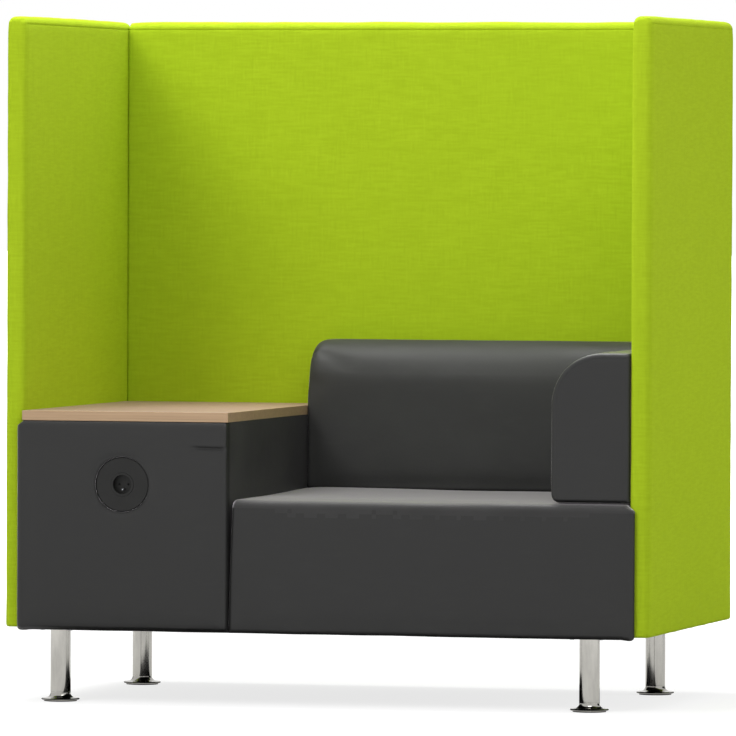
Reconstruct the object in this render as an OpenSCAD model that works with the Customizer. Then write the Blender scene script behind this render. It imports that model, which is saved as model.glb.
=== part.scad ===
// High-back lounge seat with padded acoustic panels, a side table on an upholstered pedestal,
// one armrest, a built-in power socket and four levelling tube legs.
// Millimetres. The origin is on the floor under the middle of the whole object,
// the seat faces -Y, +X is the sitter's left and +Z is up.

/* [Overall size] */
// Width across both side panels
overall_w = 1364; // [1300:2:1800]
// Height from the floor to the top of the panels
overall_h = 1417; // [1250:1:1600]
// Depth of the side panels
panel_d = 785; // [700:5:900]
// How far the upholstered fronts stand out past the side panels
front_proud = 17; // [10:1:30]
// Height of the panels' lower edges above the floor
panel_z = 156; // [140:1:200]
// How far the upholstered fronts hang below the base board
hem_drop = 4; // [0:1:8]

/* [Acoustic panels] */
// Thickness of a side panel
side_t = 41; // [36:1:60]
// Thickness of the back panel
back_t = 35; // [31:1:50]
// Thickness of the board inside a side panel
side_board_t = 19; // [15:1:22]
// Thickness of the board inside the back panel
back_board_t = 15; // [12:1:19]
// Radius of the soft edges of the panels
panel_edge_r = 12; // [6:1:14]
// Diameter of the dowels that join the back panel to the side panels
dowel_d = 8; // [6:1:10]
// Length of a dowel
dowel_l = 60; // [40:1:80]
// Number of dowels in each rear corner
dowel_count = 3; // [2:1:6]

/* [Base and frames] */
// Thickness of the base board under both boxes
base_t = 21; // [18:1:30]
// Thickness of the boards of both boxes
board_t = 18; // [15:1:22]
// Thickness of the padding and cover on the fronts
front_pad_t = 18; // [14:1:30]
// Thickness of the padding and cover on the sides
side_pad_t = 8; // [6:1:15]
// Swell in the middle of an upholstered front
front_crown = 3; // [0:0.5:5]
// Radius of the soft edges of the two boxes
box_edge_r = 10; // [6:1:14]

/* [Table and pedestal] */
// Width of the table top and the pedestal
table_w = 441; // [380:1:520]
// Height of the table top's upper face
table_z = 603; // [560:1:700]
// Thickness of the table top
table_t = 20; // [16:1:30]
// Thickness of the edge band on the table top
edge_band_t = 2; // [1:0.5:3]
// Width and height of the battens under the table top
batten_w = 30; // [20:1:40]

/* [Seat] */
// Height of the seat where the backrest and armrest stand on it
seat_z = 425; // [390:1:480]
// Radius of the seat's upper front edge
seat_front_r = 22; // [10:1:24]
// Swell of the seat in the middle of the sitting space
seat_crown = 5; // [0:0.5:10]
// Thickness of the padding and cover on top of the seat foam
seat_cover_t = 12; // [9:1:20]
// Thickness of the seat foam
seat_foam_t = 67; // [50:1:100]
// Thickness of the webbing straps
webbing_t = 2; // [1:0.5:3]
// Width of a webbing strap
webbing_w = 60; // [40:1:70]

/* [Backrest] */
// Thickness of the backrest
backrest_d = 153; // [105:1:165]
// Height of the backrest's top above the floor
backrest_z = 741; // [680:1:850]
// Radius of the backrest's upper front edge
backrest_r = 80; // [40:1:90]
// Swell of the backrest's front
backrest_crown = 5; // [0:0.5:10]
// Thickness of the padding and cover on the backrest and armrest
rest_pad_t = 10; // [8:1:15]

/* [Armrest] */
// Width of the armrest
armrest_w = 163; // [140:1:200]
// Height of the armrest's top above the floor
armrest_z = 732; // [670:1:800]
// Radius of the armrest's upper inner edge
armrest_r = 105; // [60:1:115]
// Swell of the armrest's inner side
armrest_crown = 3; // [0:0.5:6]
// Distance from the seat's front to the armrest's front
armrest_setback = 16; // [5:1:60]

/* [Support bars] */
// Width of the steel bars that carry the backrest and armrest
bar_w = 40; // [30:1:50]
// Thickness of the steel bars
bar_t = 6; // [4:1:8]
// Height of the lower ends of the bars above the base board
bar_foot_gap = 20; // [10:1:30]
// Distance from the backrest's top down to the upper ends of the bars
bar_head_gap = 100; // [80:1:140]

/* [Legs] */
// Outer diameter of a leg tube
leg_d = 42; // [38:1:50]
// Wall of a leg tube
leg_wall = 2; // [1.5:0.5:3]
// Width of the square plate on top of a leg
leg_plate_w = 80; // [70:1:90]
// Thickness of the leg plate
leg_plate_t = 5; // [4:1:8]
// Distance from the left side panel to the axis of the left legs
leg_left_inset = 61; // [55:1:120]
// Distance from the right side panel to the axis of the right legs
leg_right_inset = 96; // [55:1:120]
// Distance from the upholstered fronts to the axis of the front legs
leg_front_inset = 79; // [70:1:130]
// Distance from the back panel to the axis of the rear legs
leg_rear_inset = 83; // [65:1:130]
// Length of the threaded plug in the lower end of a leg
leg_plug_l = 25; // [20:1:35]

/* [Levelling feet] */
// Diameter of the round foot
foot_d = 79; // [64:1:84]
// Height of the foot with its glide when screwed in
foot_h = 20; // [18:0.5:26]
// Height of the foot's rim
foot_rim_h = 4; // [3:0.5:5]
// Radius of the hollow curve from the foot's rim to its collar
foot_fillet_r = 10; // [7:0.5:11]
// Diameter of the foot's threaded stem
stem_d = 10; // [8:1:12]
// Length of the stem above the foot
stem_l = 35; // [32:1:50]
// How far a foot screws out
foot_travel = 15; // [5:1:20]
// Diameter of the plastic glide under a foot
glide_d = 68; // [50:1:72]
// Thickness of the glide
glide_t = 2.5; // [2:0.5:4]
// Diameter of the pivot on which the foot turns on its glide
pivot_d = 12; // [10:1:16]
// Height of that pivot
pivot_h = 4; // [3:0.5:5]

/* [Power socket] */
// Distance from the pedestal's right side to the socket's centre
socket_inset = 226; // [180:1:260]
// Height of the socket's centre above the floor
socket_z = 453; // [400:1:480]
// Diameter of the socket's bezel
bezel_d = 112; // [104:1:120]
// Thickness of the bezel
bezel_t = 5.5; // [4:0.5:7]
// How far the bezel's face lies behind the furthest point of the upholstered front
bezel_setback = 2; // [0:0.5:4]
// Diameter of the plug recess
recess_d = 39.5; // [39:0.1:41]
// Depth of the plug recess behind the bezel's face
recess_depth = 15; // [13:0.5:17]
// Distance between the two line holes
line_pitch = 19; // [18:0.5:20]
// Diameter of a line hole
line_hole_d = 5.2; // [5:0.1:5.6]
// Diameter of the earth pin
earth_pin_d = 4.8; // [4.6:0.1:5]
// Distance from the recess's centre down to the earth pin
earth_pin_drop = 10.5; // [10:0.1:11]
// How far the safety shutter slides
shutter_travel = 5.5; // [5.3:0.1:6]

/* [Power supply] */
// Diameter of the supply lead inside the pedestal
lead_d = 8; // [6:0.5:9]
// Radius of the lead's bend, to its middle line
lead_bend_r = 40; // [32:1:60]
// Distance from the pedestal's frame front to the power inlet's centre
inlet_inset = 560; // [400:1:600]

/* [Hidden] */
$fn = 48;

// Colours, as the photograph shows them
lime = [0.62, 0.74, 0.10];
anthracite = [0.24, 0.24, 0.24];
oak = [0.78, 0.66, 0.56];
bare_wood = [0.80, 0.70, 0.52];
chrome_grey = [0.78, 0.78, 0.77];
steel_grey = [0.55, 0.56, 0.58];
socket_black = [0.12, 0.12, 0.12];
brass_yellow = [0.75, 0.62, 0.30];
foam_cream = [0.90, 0.87, 0.72];

// Overrun of cuts, clearance of pieces that slip into each other, and of foam in its cover
over = 1;
slip = 0.05;
foam_gap = 0.3;

// Main planes
half_w = overall_w / 2;
total_d = panel_d + front_proud;
front_y = -total_d / 2;
rear_y = total_d / 2;
panel_front_y = front_y + front_proud;
inner_x = half_w - side_t;
back_face_y = rear_y - back_t;
base_top_z = panel_z + base_t;
hem_z = panel_z - hem_drop;
frame_front_y = front_y + front_pad_t;
frame_rear_y = back_face_y - board_t;
split_x = -inner_x + table_w;
table_under_z = table_z - table_t;
frame_top_z = seat_z - seat_cover_t - seat_foam_t - webbing_t;
foam_top_z = seat_z - seat_cover_t;
seat_frame_x = split_x + side_pad_t;
pedestal_board_x = split_x - side_pad_t - board_t;
backrest_y = back_face_y - backrest_d;
armrest_x = inner_x - armrest_w;
armrest_y = front_y + armrest_setback;

// Walls of the panel covers
side_wall = (side_t - side_board_t) / 2;
back_wall = (back_t - back_board_t) / 2;
dowel_y = rear_y - back_t / 2;
dowel_z_shares = [for (i = [0:dowel_count - 1]) (i + 0.5) / dowel_count];

// Bolts and screws
bolt_d = 8;
bolt_head_d = 18;
bolt_head_h = 4;
insert_d = 12;
bolt_tip_gap = 3;
screw_d = 5;
screw_head_d = 9;
screw_head_h = 3;
screw_l = 50;
leg_screw_l = 20;
bolt_z = (base_top_z + frame_top_z) / 2;
side_bolt_shares = [0.08, 0.36, 0.82];
rear_bolt_shares = [-0.81, -0.51, -0.12, 0.35, 0.81];
joining_y_shares = [0.15, 0.85];
joining_z_shares = [0.3, 0.8];
front_screw_shares = [0.2, 0.8];
side_screw_shares = [0.3, 0.7];
rear_screw_shares = [-0.75, -0.42, 0.05, 0.45, 0.9];
batten_screw_shares = [0.2, 0.8];
leg_screw_share = 0.75;

// Webbing and support bars: the bars pass midway between two straps
webbing_count = 7;
webbing_pitch = (inner_x - seat_frame_x) / webbing_count;
backrest_bar_steps = [2, 5];
armrest_bar_shares = [0.2, 0.75];
bar_low_z = base_top_z + bar_foot_gap;
bar_high_z = backrest_z - bar_head_gap;
bar_hole_low_shares = [0.3, 0.75];
bar_hole_high_shares = [0.25, 0.65];

// Leg axes: front left, rear left, front right, rear right
leg_left_x = -inner_x + leg_left_inset;
leg_right_x = inner_x - leg_right_inset;
leg_front_y = front_y + leg_front_inset;
leg_rear_y = back_face_y - leg_rear_inset;
leg_places = [
    [leg_left_x, leg_front_y], [leg_left_x, leg_rear_y],
    [leg_right_x, leg_front_y], [leg_right_x, leg_rear_y]];
leg_bottom_z = foot_h;
foot_gap = 0.2;

// Power socket: distances behind the bezel's face
socket_x = split_x - socket_inset;
bezel_y = front_y + bezel_setback;
bezel_rim_r = 2;
board_depth = frame_front_y - bezel_y;
insert_wall = 4.25;
insert_r = recess_d / 2 + insert_wall;
insert_proud = 0.8;
insert_flange_r = 27;
insert_flange_t = 3;
recess_floor_t = 4;
body_r = 27;
body_front = bezel_t + insert_flange_t;
floor_back = recess_depth + recess_floor_t;
body_depth = floor_back + 23;
ring_t = 1.2;
ring_gap = 0.2;
ring_r = 48.9;
body_flange_r = 36;
body_flange_t = 2.5;
skirt_t = 3;
bezel_hole_gap = 1;
ring_screw_r = 42.5;
ring_screw_d = 3.5;
ring_screw_head_d = 7;
ring_screw_head_h = 2;
ring_screw_l = 15;
shutter_t = 2;
shutter_gap = 0.2;
shutter_w = 29;
shutter_foot = 5;
shutter_head = 5;
shutter_notch_w = 6.4;
shutter_notch_h = 3.5;
shutter_window_d = 5.6;
contact_wall = 0.75;
contact_floor_t = 1;
contact_gap = 1;
contact_bore_d = 4.9;
contact_l = 16;
contact_depth = floor_back + shutter_t + 2 * shutter_gap + contact_gap;
earth_pin_tip = 1;
spring_d = 4;
spring_wire_d = 0.6;
spring_turns = 5;
spring_l = 12;
spring_x = 11;
spring_sides = 6;
spring_rings = 8;
box_r = 31.8;
box_wall = 1.5;
box_depth = board_depth + 46;
gland_r = 7;
gland_h = 8;
gland_depth = board_depth + 30;

// Power inlet in the base board, facing down
lead_r = lead_d / 2;
inlet_y = frame_front_y + inlet_inset;
inlet_w = 28;
inlet_d = 20;
inlet_flange_w = 50;
inlet_flange_d = 26;
inlet_flange_t = 2;
inlet_cavity_w = 24;
inlet_cavity_d = 17;
inlet_cavity_h = 18;
inlet_roof_t = 20;
blade_w = 2;
blade_d = 4;
blade_foot_gap = 3;
line_blade_x = 7;
line_blade_y = -2;
earth_blade_y = 4;
lead_socket_l = 6;
clip_w = 16;
clip_l = 12;
clip_roof_t = 2;
clip_shares = [0.25, 0.55];

// Sections of the padded blocks: steps of a small corner, of a large corner and of a face
small_steps = 3;
large_steps = 8;
face_steps = 7;
crown_reach = 60;
block_steps = 9;
hidden_edge_r = box_edge_r / 2;
pedestal_radius_shares = [1, 0.5, 0.5, 0.8];
armrest_hidden_share = 0.2;

// One step along the seat, across its top and along the backrest: their swells end a step
// short of the armrest and the backrest, so that these stand on flat faces
seat_step = (inner_x - split_x - 2 * side_pad_t) / (2 * block_steps);
seat_depth_step = (back_face_y - front_y) / (2 * face_steps);
backrest_step = (inner_x - split_x - box_edge_r - side_pad_t) / block_steps;

// Share of a swell at place t between lo and hi, and of one that dies out over a distance
function hump(span, t) =
    (t <= span[0] || t >= span[1]) ? 0 : 4 * (t - span[0]) * (span[1] - t) / pow(span[1] - span[0], 2);
function fade(distance, reach) = max(0, 1 - distance / reach);

// Round outline of a block's section, counter-clockwise, from four corner radii and their steps
// in the order low-low, high-low, high-high, low-high, and the steps of the four faces between
function section(lo, hi, radii, arcs, faces) =
    let (centres = [
            [lo.x + radii[0], lo.y + radii[0]], [hi.x - radii[1], lo.y + radii[1]],
            [hi.x - radii[2], hi.y - radii[2]], [lo.x + radii[3], hi.y - radii[3]]],
         starts = [180, 270, 0, 90])
    [for (c = [0:3])
        let (next = (c + 1) % 4,
             tail = centres[c] + radii[c] * [cos(starts[c] + 90), sin(starts[c] + 90)],
             head = centres[next] + radii[next] * [cos(starts[next]), sin(starts[next])])
        each concat(
            [for (i = [0:arcs[c]])
                let (a = starts[c] + 90 * i / arcs[c]) centres[c] + radii[c] * [cos(a), sin(a)]],
            faces[c] < 2 ? [] : [for (i = [1:faces[c] - 1]) tail + (head - tail) * i / faces[c]])];

// Places of the sections along a block, each with how far its outline is drawn in
function stations(span, round_lo, round_hi, steps) =
    concat(
        round_lo == 0 ? [[span[0], 0]] : [for (i = [0:small_steps])
            let (turn = 90 * i / small_steps)
            [span[0] + round_lo * (1 - cos(turn)), round_lo * (1 - sin(turn))]],
        [for (i = [1:steps - 1])
            [span[0] + round_lo + (span[1] - round_hi - span[0] - round_lo) * i / steps, 0]],
        round_hi == 0 ? [[span[1], 0]] : [for (i = [small_steps:-1:0])
            let (turn = 90 * i / small_steps)
            [span[1] - round_hi * (1 - cos(turn)), round_hi * (1 - sin(turn))]]);

// One ring of a block: drawn in towards its middle, then swelled on its low face and its top
function ring(place, inset, outline, lo, hi, face_crown, top_crown, open_s, open_u, open_v) =
    let (mid = (lo + hi) / 2, half = (hi - lo) / 2)
    [for (p = outline)
        let (q = [mid.x + (p.x - mid.x) * (1 - inset / half.x), mid.y + (p.y - mid.y) * (1 - inset / half.y)],
             out = face_crown * hump(open_s, place) * hump(open_v, q.y) * fade(q.x - lo.x, crown_reach),
             rise = top_crown * hump(open_s, place) * hump(open_u, q.x) * fade(hi.y - q.y, crown_reach))
        [q.x - out, q.y + rise]];

// Triangles between neighbouring rings, and from each end's own middle point, which come last
function skin_faces(rings, n) =
    let (last = (rings - 1) * n, low_mid = rings * n, high_mid = low_mid + 1)
    concat(
        [for (i = [0:rings - 2], j = [0:n - 1], k = [0:1])
            let (a = i * n + j, b = i * n + (j + 1) % n, c = b + n, d = a + n)
            k == 0 ? [a, b, c] : [a, c, d]],
        [for (j = [0:n - 1]) [low_mid, (j + 1) % n, j]],
        [for (j = [0:n - 1]) [high_mid, last + j, last + (j + 1) % n]]);

function flipped(faces) = [for (f = faces) [f[0], f[2], f[1]]];

// Padded block along X, Y or Z. In a block along X the section runs over Y and Z,
// along Y over X and Z, along Z over X and Y.
module padded_block(along, span, lo, hi, radii, arcs, faces, rounds, steps = block_steps,
        face_crown = 0, top_crown = 0, open_s = [0, 0], open_u = [0, 0], open_v = [0, 0]) {
    outline = section(lo, hi, radii, arcs, faces);
    places = stations(span, rounds[0], rounds[1], steps);
    flat_rings = [for (s = places)
        ring(s[0], s[1], outline, lo, hi, face_crown, top_crown, open_s, open_u, open_v)];
    mid = (lo + hi) / 2;
    ends = [[mid, span[0]], [mid, span[1]]];
    flat_points = concat([for (i = [0:len(places) - 1], p = flat_rings[i]) [p, places[i][0]]], ends);
    points = [for (q = flat_points)
        along == "x" ? [q[1], q[0].x, q[0].y]
        : along == "y" ? [q[0].x, q[1], q[0].y]
        : [q[0].x, q[0].y, q[1]]];
    skin = skin_faces(len(places), len(outline));
    polyhedron(points, along == "y" ? skin : flipped(skin), convexity = 4);
}

// Box between two corners
module box(lo, hi) {
    translate(lo)
        cube(hi - lo);
}

// Round bar or hole between two points on a line along X, Y or Z
module rod(from, to, d) {
    run = to - from;
    turn = run.x != 0 ? [0, 90 * sign(run.x), 0]
        : run.y != 0 ? [-90 * sign(run.y), 0, 0]
        : [run.z < 0 ? 180 : 0, 0, 0];
    translate(from)
        rotate(turn)
            cylinder(d = d, h = norm(run));
}

// Section of a foam block whose low, upper corner is round
module foam_section(lo, hi, r) {
    difference() {
        translate(lo)
            square([hi.x - lo.x, hi.y - lo.y]);
        difference() {
            translate([lo.x - over, hi.y - r])
                square([r + over, r + over]);
            translate([lo.x + r, hi.y - r])
                circle(r = r);
        }
    }
}

// Room taken by the base board and the rear rail, cut from what passes them
module base_room() {
    box([-inner_x - over, frame_front_y, 0], [inner_x + over, back_face_y + over, base_top_z]);
    box([-inner_x - over, frame_rear_y, 0], [inner_x + over, back_face_y + over, frame_top_z]);
}

// Places of the bolts: where each starts, where it ends
side_bolt_ys = [for (s = side_bolt_shares) frame_front_y + s * (frame_rear_y - frame_front_y)];
rear_bolt_xs = [for (s = rear_bolt_shares) s * inner_x];
joining_ys = [for (s = joining_y_shares) frame_front_y + s * (frame_rear_y - frame_front_y)];
joining_zs = [for (s = joining_z_shares) base_top_z + s * (frame_top_z - base_top_z)];
side_tip_x = inner_x + side_wall + side_board_t - bolt_tip_gap;
rear_tip_y = back_face_y + back_wall + back_board_t - bolt_tip_gap;

// Holes for the bolts that hold the panels, and for those that join the two boxes
module panel_bolt_holes(d) {
    for (side = [-1, 1], y = side_bolt_ys)
        rod([side * (inner_x - board_t - over), y, bolt_z], [side * side_tip_x, y, bolt_z], d);
    for (x = rear_bolt_xs)
        rod([x, frame_rear_y - over, bolt_z], [x, rear_tip_y, bolt_z], d);
}

module joining_holes(d) {
    for (y = joining_ys, z = joining_zs)
        rod([pedestal_board_x - over, y, z], [seat_frame_x + board_t + over, y, z], d);
}

// Holes for the threaded inserts in the panel boards
module insert_holes(d) {
    for (side = [-1, 1], y = side_bolt_ys)
        rod([side * (inner_x + side_wall), y, bolt_z], [side * side_tip_x, y, bolt_z], d);
    for (x = rear_bolt_xs)
        rod([x, back_face_y + back_wall, bolt_z], [x, rear_tip_y, bolt_z], d);
}

// Dowels in the rear corners, also used as their holes
module dowels(d, grow) {
    for (side = [-1, 1], share = dowel_z_shares) {
        z = table_z + share * (overall_h - table_z);
        middle = side * (inner_x + side_wall / 2);
        rod([middle - side * (dowel_l / 2 + grow), dowel_y, z],
            [middle + side * (dowel_l / 2 - side_wall + grow), dowel_y, z], d);
    }
}

// Screws up through the base board: under each board of the boxes and under the rear rail
front_screw_y = frame_front_y + board_t / 2;
base_screws = concat(
    [for (s = front_screw_shares) [-inner_x + board_t + s * (table_w - 2 * board_t), front_screw_y]],
    [for (s = front_screw_shares) [seat_frame_x + s * (inner_x - seat_frame_x), front_screw_y]],
    [for (x = [-inner_x + board_t / 2, pedestal_board_x + board_t / 2,
               seat_frame_x + board_t / 2, inner_x - board_t / 2], s = side_screw_shares)
        [x, frame_front_y + s * (frame_rear_y - frame_front_y)]],
    [for (s = rear_screw_shares) [s * inner_x, back_face_y - board_t / 2]]);
batten_ys = [frame_front_y + board_t, frame_rear_y - batten_w];
batten_screws = [for (y = batten_ys, s = batten_screw_shares)
    [-inner_x + board_t + s * (table_w - 2 * board_t), y + batten_w / 2]];

module screw(l, d, head_d, head_h) {
    cylinder(d = head_d, h = head_h);
    cylinder(d = d, h = l);
}

module base_screw_holes() {
    for (p = base_screws)
        translate([p.x, p.y, panel_z])
            screw(screw_l + slip, screw_d + 2 * slip, screw_head_d + 2 * slip, screw_head_h);
}

module batten_screw_holes() {
    for (p = batten_screws)
        translate([p.x, p.y, table_under_z - batten_w - screw_head_h])
            cylinder(d = screw_d + 2 * slip, h = screw_l + slip);
}

leg_screw_offset = leg_screw_share * leg_plate_w / 2;
module leg_screw_spots(place) {
    for (dx = [-1, 1], dy = [-1, 1])
        translate([place.x + dx * leg_screw_offset, place.y + dy * leg_screw_offset, 0])
            children();
}

// Support bars, and the slots that let them and their bolt heads pass
bar_xs = [for (k = backrest_bar_steps) seat_frame_x + k * webbing_pitch];
bar_ys = [for (s = armrest_bar_shares) armrest_y + s * (backrest_y - armrest_y)];
bar_hole_zs = concat(
    [for (s = bar_hole_low_shares) base_top_z + s * (frame_top_z - base_top_z)],
    [for (s = bar_hole_high_shares) seat_z + s * (bar_high_z - seat_z)]);
module bar_slots() {
    for (x = bar_xs)
        box([x - bar_w / 2 - foam_gap, frame_rear_y - bar_t - bolt_head_h - foam_gap, bar_low_z],
            [x + bar_w / 2 + foam_gap, frame_rear_y, bar_high_z + foam_gap]);
    for (y = bar_ys)
        box([inner_x - board_t - bar_t - bolt_head_h - foam_gap, y - bar_w / 2 - foam_gap, bar_low_z],
            [inner_x - board_t, y + bar_w / 2 + foam_gap, bar_high_z + foam_gap]);
}

module bar_bolt_holes(d) {
    for (x = bar_xs, z = bar_hole_zs)
        rod([x, frame_rear_y - bar_t - over, z], [x, back_face_y - bolt_tip_gap, z], d);
    for (y = bar_ys, z = bar_hole_zs)
        rod([inner_x - board_t - bar_t - over, y, z], [inner_x - bolt_tip_gap, y, z], d);
}

// Acoustic panels
module side_board(side) {
    color(bare_wood) difference() {
        box([side < 0 ? -half_w + side_wall : inner_x + side_wall, panel_front_y + side_wall, panel_z],
            [side < 0 ? -inner_x - side_wall : half_w - side_wall,
                rear_y - side_wall, overall_h - side_wall]);
        insert_holes(insert_d + 2 * slip);
        dowels(dowel_d + 2 * slip, slip);
    }
}

module side_cover(side) {
    lo_x = side < 0 ? -half_w : inner_x;
    color(lime) difference() {
        padded_block("z", [panel_z, overall_h], [lo_x, panel_front_y], [lo_x + side_t, rear_y],
            panel_edge_r * [1, 1, 1, 1], small_steps * [1, 1, 1, 1], [2, 4, 2, 4], [0, panel_edge_r], 4);
        box([lo_x + side_wall, panel_front_y + side_wall, 0],
            [lo_x + side_t - side_wall, rear_y - side_wall, overall_h - side_wall]);
        panel_bolt_holes(bolt_d + 2 * slip);
        dowels(dowel_d + 2 * slip, slip);
    }
}

module left_panel_board() {
    side_board(-1);
}

module left_panel_cover() {
    side_cover(-1);
}

module right_panel_board() {
    side_board(1);
}

module right_panel_cover() {
    side_cover(1);
}

module back_panel_board() {
    color(bare_wood) difference() {
        box([-inner_x + back_wall, back_face_y + back_wall, panel_z],
            [inner_x - back_wall, rear_y - back_wall, overall_h - back_wall]);
        insert_holes(insert_d + 2 * slip);
        dowels(dowel_d + 2 * slip, slip);
    }
}

module back_panel_cover() {
    color(lime) difference() {
        padded_block("z", [panel_z, overall_h], [-inner_x, back_face_y], [inner_x, rear_y],
            back_wall * [1, 1, 1, 1], small_steps * [1, 1, 1, 1], [4, 2, 4, 2], [0, panel_edge_r], 4);
        box([-inner_x + back_wall, back_face_y + back_wall, 0],
            [inner_x - back_wall, rear_y - back_wall, overall_h - back_wall]);
        panel_bolt_holes(bolt_d + 2 * slip);
        dowels(dowel_d + 2 * slip, slip);
    }
}

module corner_dowels() {
    color(bare_wood)
        dowels(dowel_d, 0);
}

// Base board and rear rail
module base_board() {
    color("black") difference() {
        box([-inner_x, frame_front_y, panel_z], [inner_x, back_face_y, base_top_z]);
        base_screw_holes();
        for (place = leg_places)
            leg_screw_spots(place)
                translate([0, 0, panel_z - leg_plate_t])
                    cylinder(d = screw_d + 2 * slip, h = leg_screw_l + slip);
        box([socket_x - inlet_w / 2 - slip, inlet_y - inlet_d / 2 - slip, 0],
            [socket_x + inlet_w / 2 + slip, inlet_y + inlet_d / 2 + slip, base_top_z + over]);
    }
}

module rear_rail() {
    color(bare_wood) difference() {
        box([-inner_x, frame_rear_y, base_top_z], [inner_x, back_face_y, frame_top_z]);
        base_screw_holes();
        panel_bolt_holes(bolt_d + 2 * slip);
        bar_bolt_holes(bolt_d + 2 * slip);
    }
}

// Pedestal
module pedestal_left_board() {
    color(bare_wood) difference() {
        box([-inner_x, frame_front_y, base_top_z], [-inner_x + board_t, frame_rear_y, table_under_z]);
        base_screw_holes();
        panel_bolt_holes(bolt_d + 2 * slip);
    }
}

module pedestal_right_board() {
    color(bare_wood) difference() {
        box([pedestal_board_x, frame_front_y, base_top_z],
            [pedestal_board_x + board_t, frame_rear_y, table_under_z]);
        base_screw_holes();
        joining_holes(bolt_d + 2 * slip);
    }
}

module pedestal_front_board() {
    color(bare_wood) difference() {
        box([-inner_x + board_t, frame_front_y, base_top_z],
            [pedestal_board_x, frame_front_y + board_t, table_under_z]);
        base_screw_holes();
        at_socket(-board_depth - board_t - over)
            cylinder(r = box_r + slip, h = board_t + 2 * over);
        ring_screw_spots(-board_depth - board_t)
            cylinder(d = ring_screw_d + 2 * slip, h = board_t + over);
    }
}

module pedestal_cover() {
    color(anthracite) difference() {
        padded_block("x", [-inner_x, split_x], [front_y + front_crown, hem_z], [back_face_y, table_under_z],
            box_edge_r * pedestal_radius_shares, small_steps * [1, 1, 1, 1], [2, 1, 2, face_steps],
            [side_pad_t, side_pad_t], face_crown = front_crown,
            open_s = [-inner_x, split_x], open_v = [hem_z, table_under_z]);
        box([-inner_x - over, frame_front_y, 0],
            [split_x - side_pad_t, back_face_y + over, table_under_z + over]);
        base_room();
        joining_holes(bolt_d + 2 * slip);
        at_socket(-board_depth - over)
            cylinder(d = bezel_d + 2 * bezel_hole_gap, h = board_depth + front_pad_t);
    }
}

module table_battens() {
    color(bare_wood) difference() {
        for (y = batten_ys)
            box([-inner_x + board_t, y, table_under_z - batten_w],
                [pedestal_board_x, y + batten_w, table_under_z]);
        batten_screw_holes();
    }
}

module table_top() {
    color(oak) difference() {
        box([-inner_x, front_y + edge_band_t, table_under_z], [split_x - edge_band_t, back_face_y, table_z]);
        batten_screw_holes();
    }
}

module table_edge_band() {
    color(oak) {
        box([-inner_x, front_y, table_under_z], [split_x, front_y + edge_band_t, table_z]);
        box([split_x - edge_band_t, front_y + edge_band_t, table_under_z], [split_x, back_face_y, table_z]);
    }
}

// Power socket. Its pieces are drawn face up around the recess's axis, the bezel's face at zero.
module at_socket(depth) {
    translate([socket_x, bezel_y, socket_z])
        rotate([90, 0, 0])
            translate([0, 0, depth])
                children();
}

module ring_screw_spots(depth) {
    for (side = [-1, 1])
        at_socket(depth)
            translate([side * ring_screw_r, 0, 0])
                children();
}

module line_spots() {
    for (side = [-1, 1])
        translate([side * line_pitch / 2, 0, 0])
            children();
}

module socket_bezel() {
    bezel_r = bezel_d / 2;
    color(socket_black) at_socket(0)
        rotate_extrude() {
            translate([insert_r + 2 * ring_gap, -bezel_t])
                square([bezel_r - bezel_rim_r - insert_r - 2 * ring_gap, bezel_t]);
            translate([bezel_r - bezel_rim_r, -bezel_t])
                square([bezel_rim_r, bezel_t - bezel_rim_r]);
            translate([bezel_r - bezel_rim_r, -bezel_rim_r])
                circle(r = bezel_rim_r);
            translate([ring_r + 2 * slip, -board_depth])
                square([skirt_t, board_depth - bezel_t]);
        }
}

module socket_insert() {
    color(socket_black) at_socket(0) difference() {
        union() {
            translate([0, 0, -floor_back])
                cylinder(r = insert_r, h = floor_back + insert_proud);
            translate([0, 0, -body_front])
                cylinder(r = insert_flange_r, h = insert_flange_t);
        }
        translate([0, 0, -recess_depth])
            cylinder(d = recess_d, h = recess_depth + insert_proud + over);
        line_spots()
            translate([0, 0, -floor_back - over])
                cylinder(d = line_hole_d, h = recess_floor_t + 2 * over);
        translate([0, -earth_pin_drop, -floor_back - over])
            cylinder(d = earth_pin_d + 2 * slip, h = recess_floor_t + 2 * over);
    }
}

module socket_body() {
    pocket_w = shutter_w + 2 * shutter_gap;
    pocket_low = -shutter_foot - shutter_travel - shutter_gap;
    pocket_high = shutter_head + shutter_travel + shutter_gap;
    pocket_t = shutter_t + 2 * shutter_gap;
    spring_room = spring_d + spring_wire_d + 2 * shutter_gap;
    color(socket_black) at_socket(0) difference() {
        union() {
            translate([0, 0, -body_depth])
                cylinder(r = body_r, h = body_depth - body_front);
            translate([0, 0, -board_depth + ring_t])
                cylinder(r = body_flange_r, h = body_flange_t);
        }
        translate([0, 0, -floor_back])
            cylinder(r = insert_r + slip, h = floor_back);
        box([-pocket_w / 2, pocket_low, -floor_back - pocket_t],
            [pocket_w / 2, pocket_high, -floor_back + over]);
        for (side = [-1, 1])
            box([side * spring_x - spring_room / 2, -shutter_foot - spring_l, -floor_back - spring_room],
                [side * spring_x + spring_room / 2, -shutter_foot, -floor_back + over]);
        line_spots()
            translate([0, 0, -contact_depth - contact_l - slip])
                cylinder(d = contact_bore_d + 2 * contact_wall + 2 * slip, h = contact_l + over + pocket_t);
        translate([0, -earth_pin_drop, -body_depth - over])
            cylinder(d = earth_pin_d + 2 * slip, h = body_depth);
    }
}

module earth_pin() {
    color(steel_grey) at_socket(0)
        translate([0, -earth_pin_drop, 0]) {
            translate([0, 0, -body_depth])
                cylinder(d = earth_pin_d, h = body_depth - earth_pin_tip - earth_pin_d / 2);
            translate([0, 0, -earth_pin_tip - earth_pin_d / 2])
                sphere(d = earth_pin_d);
        }
}

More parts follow.
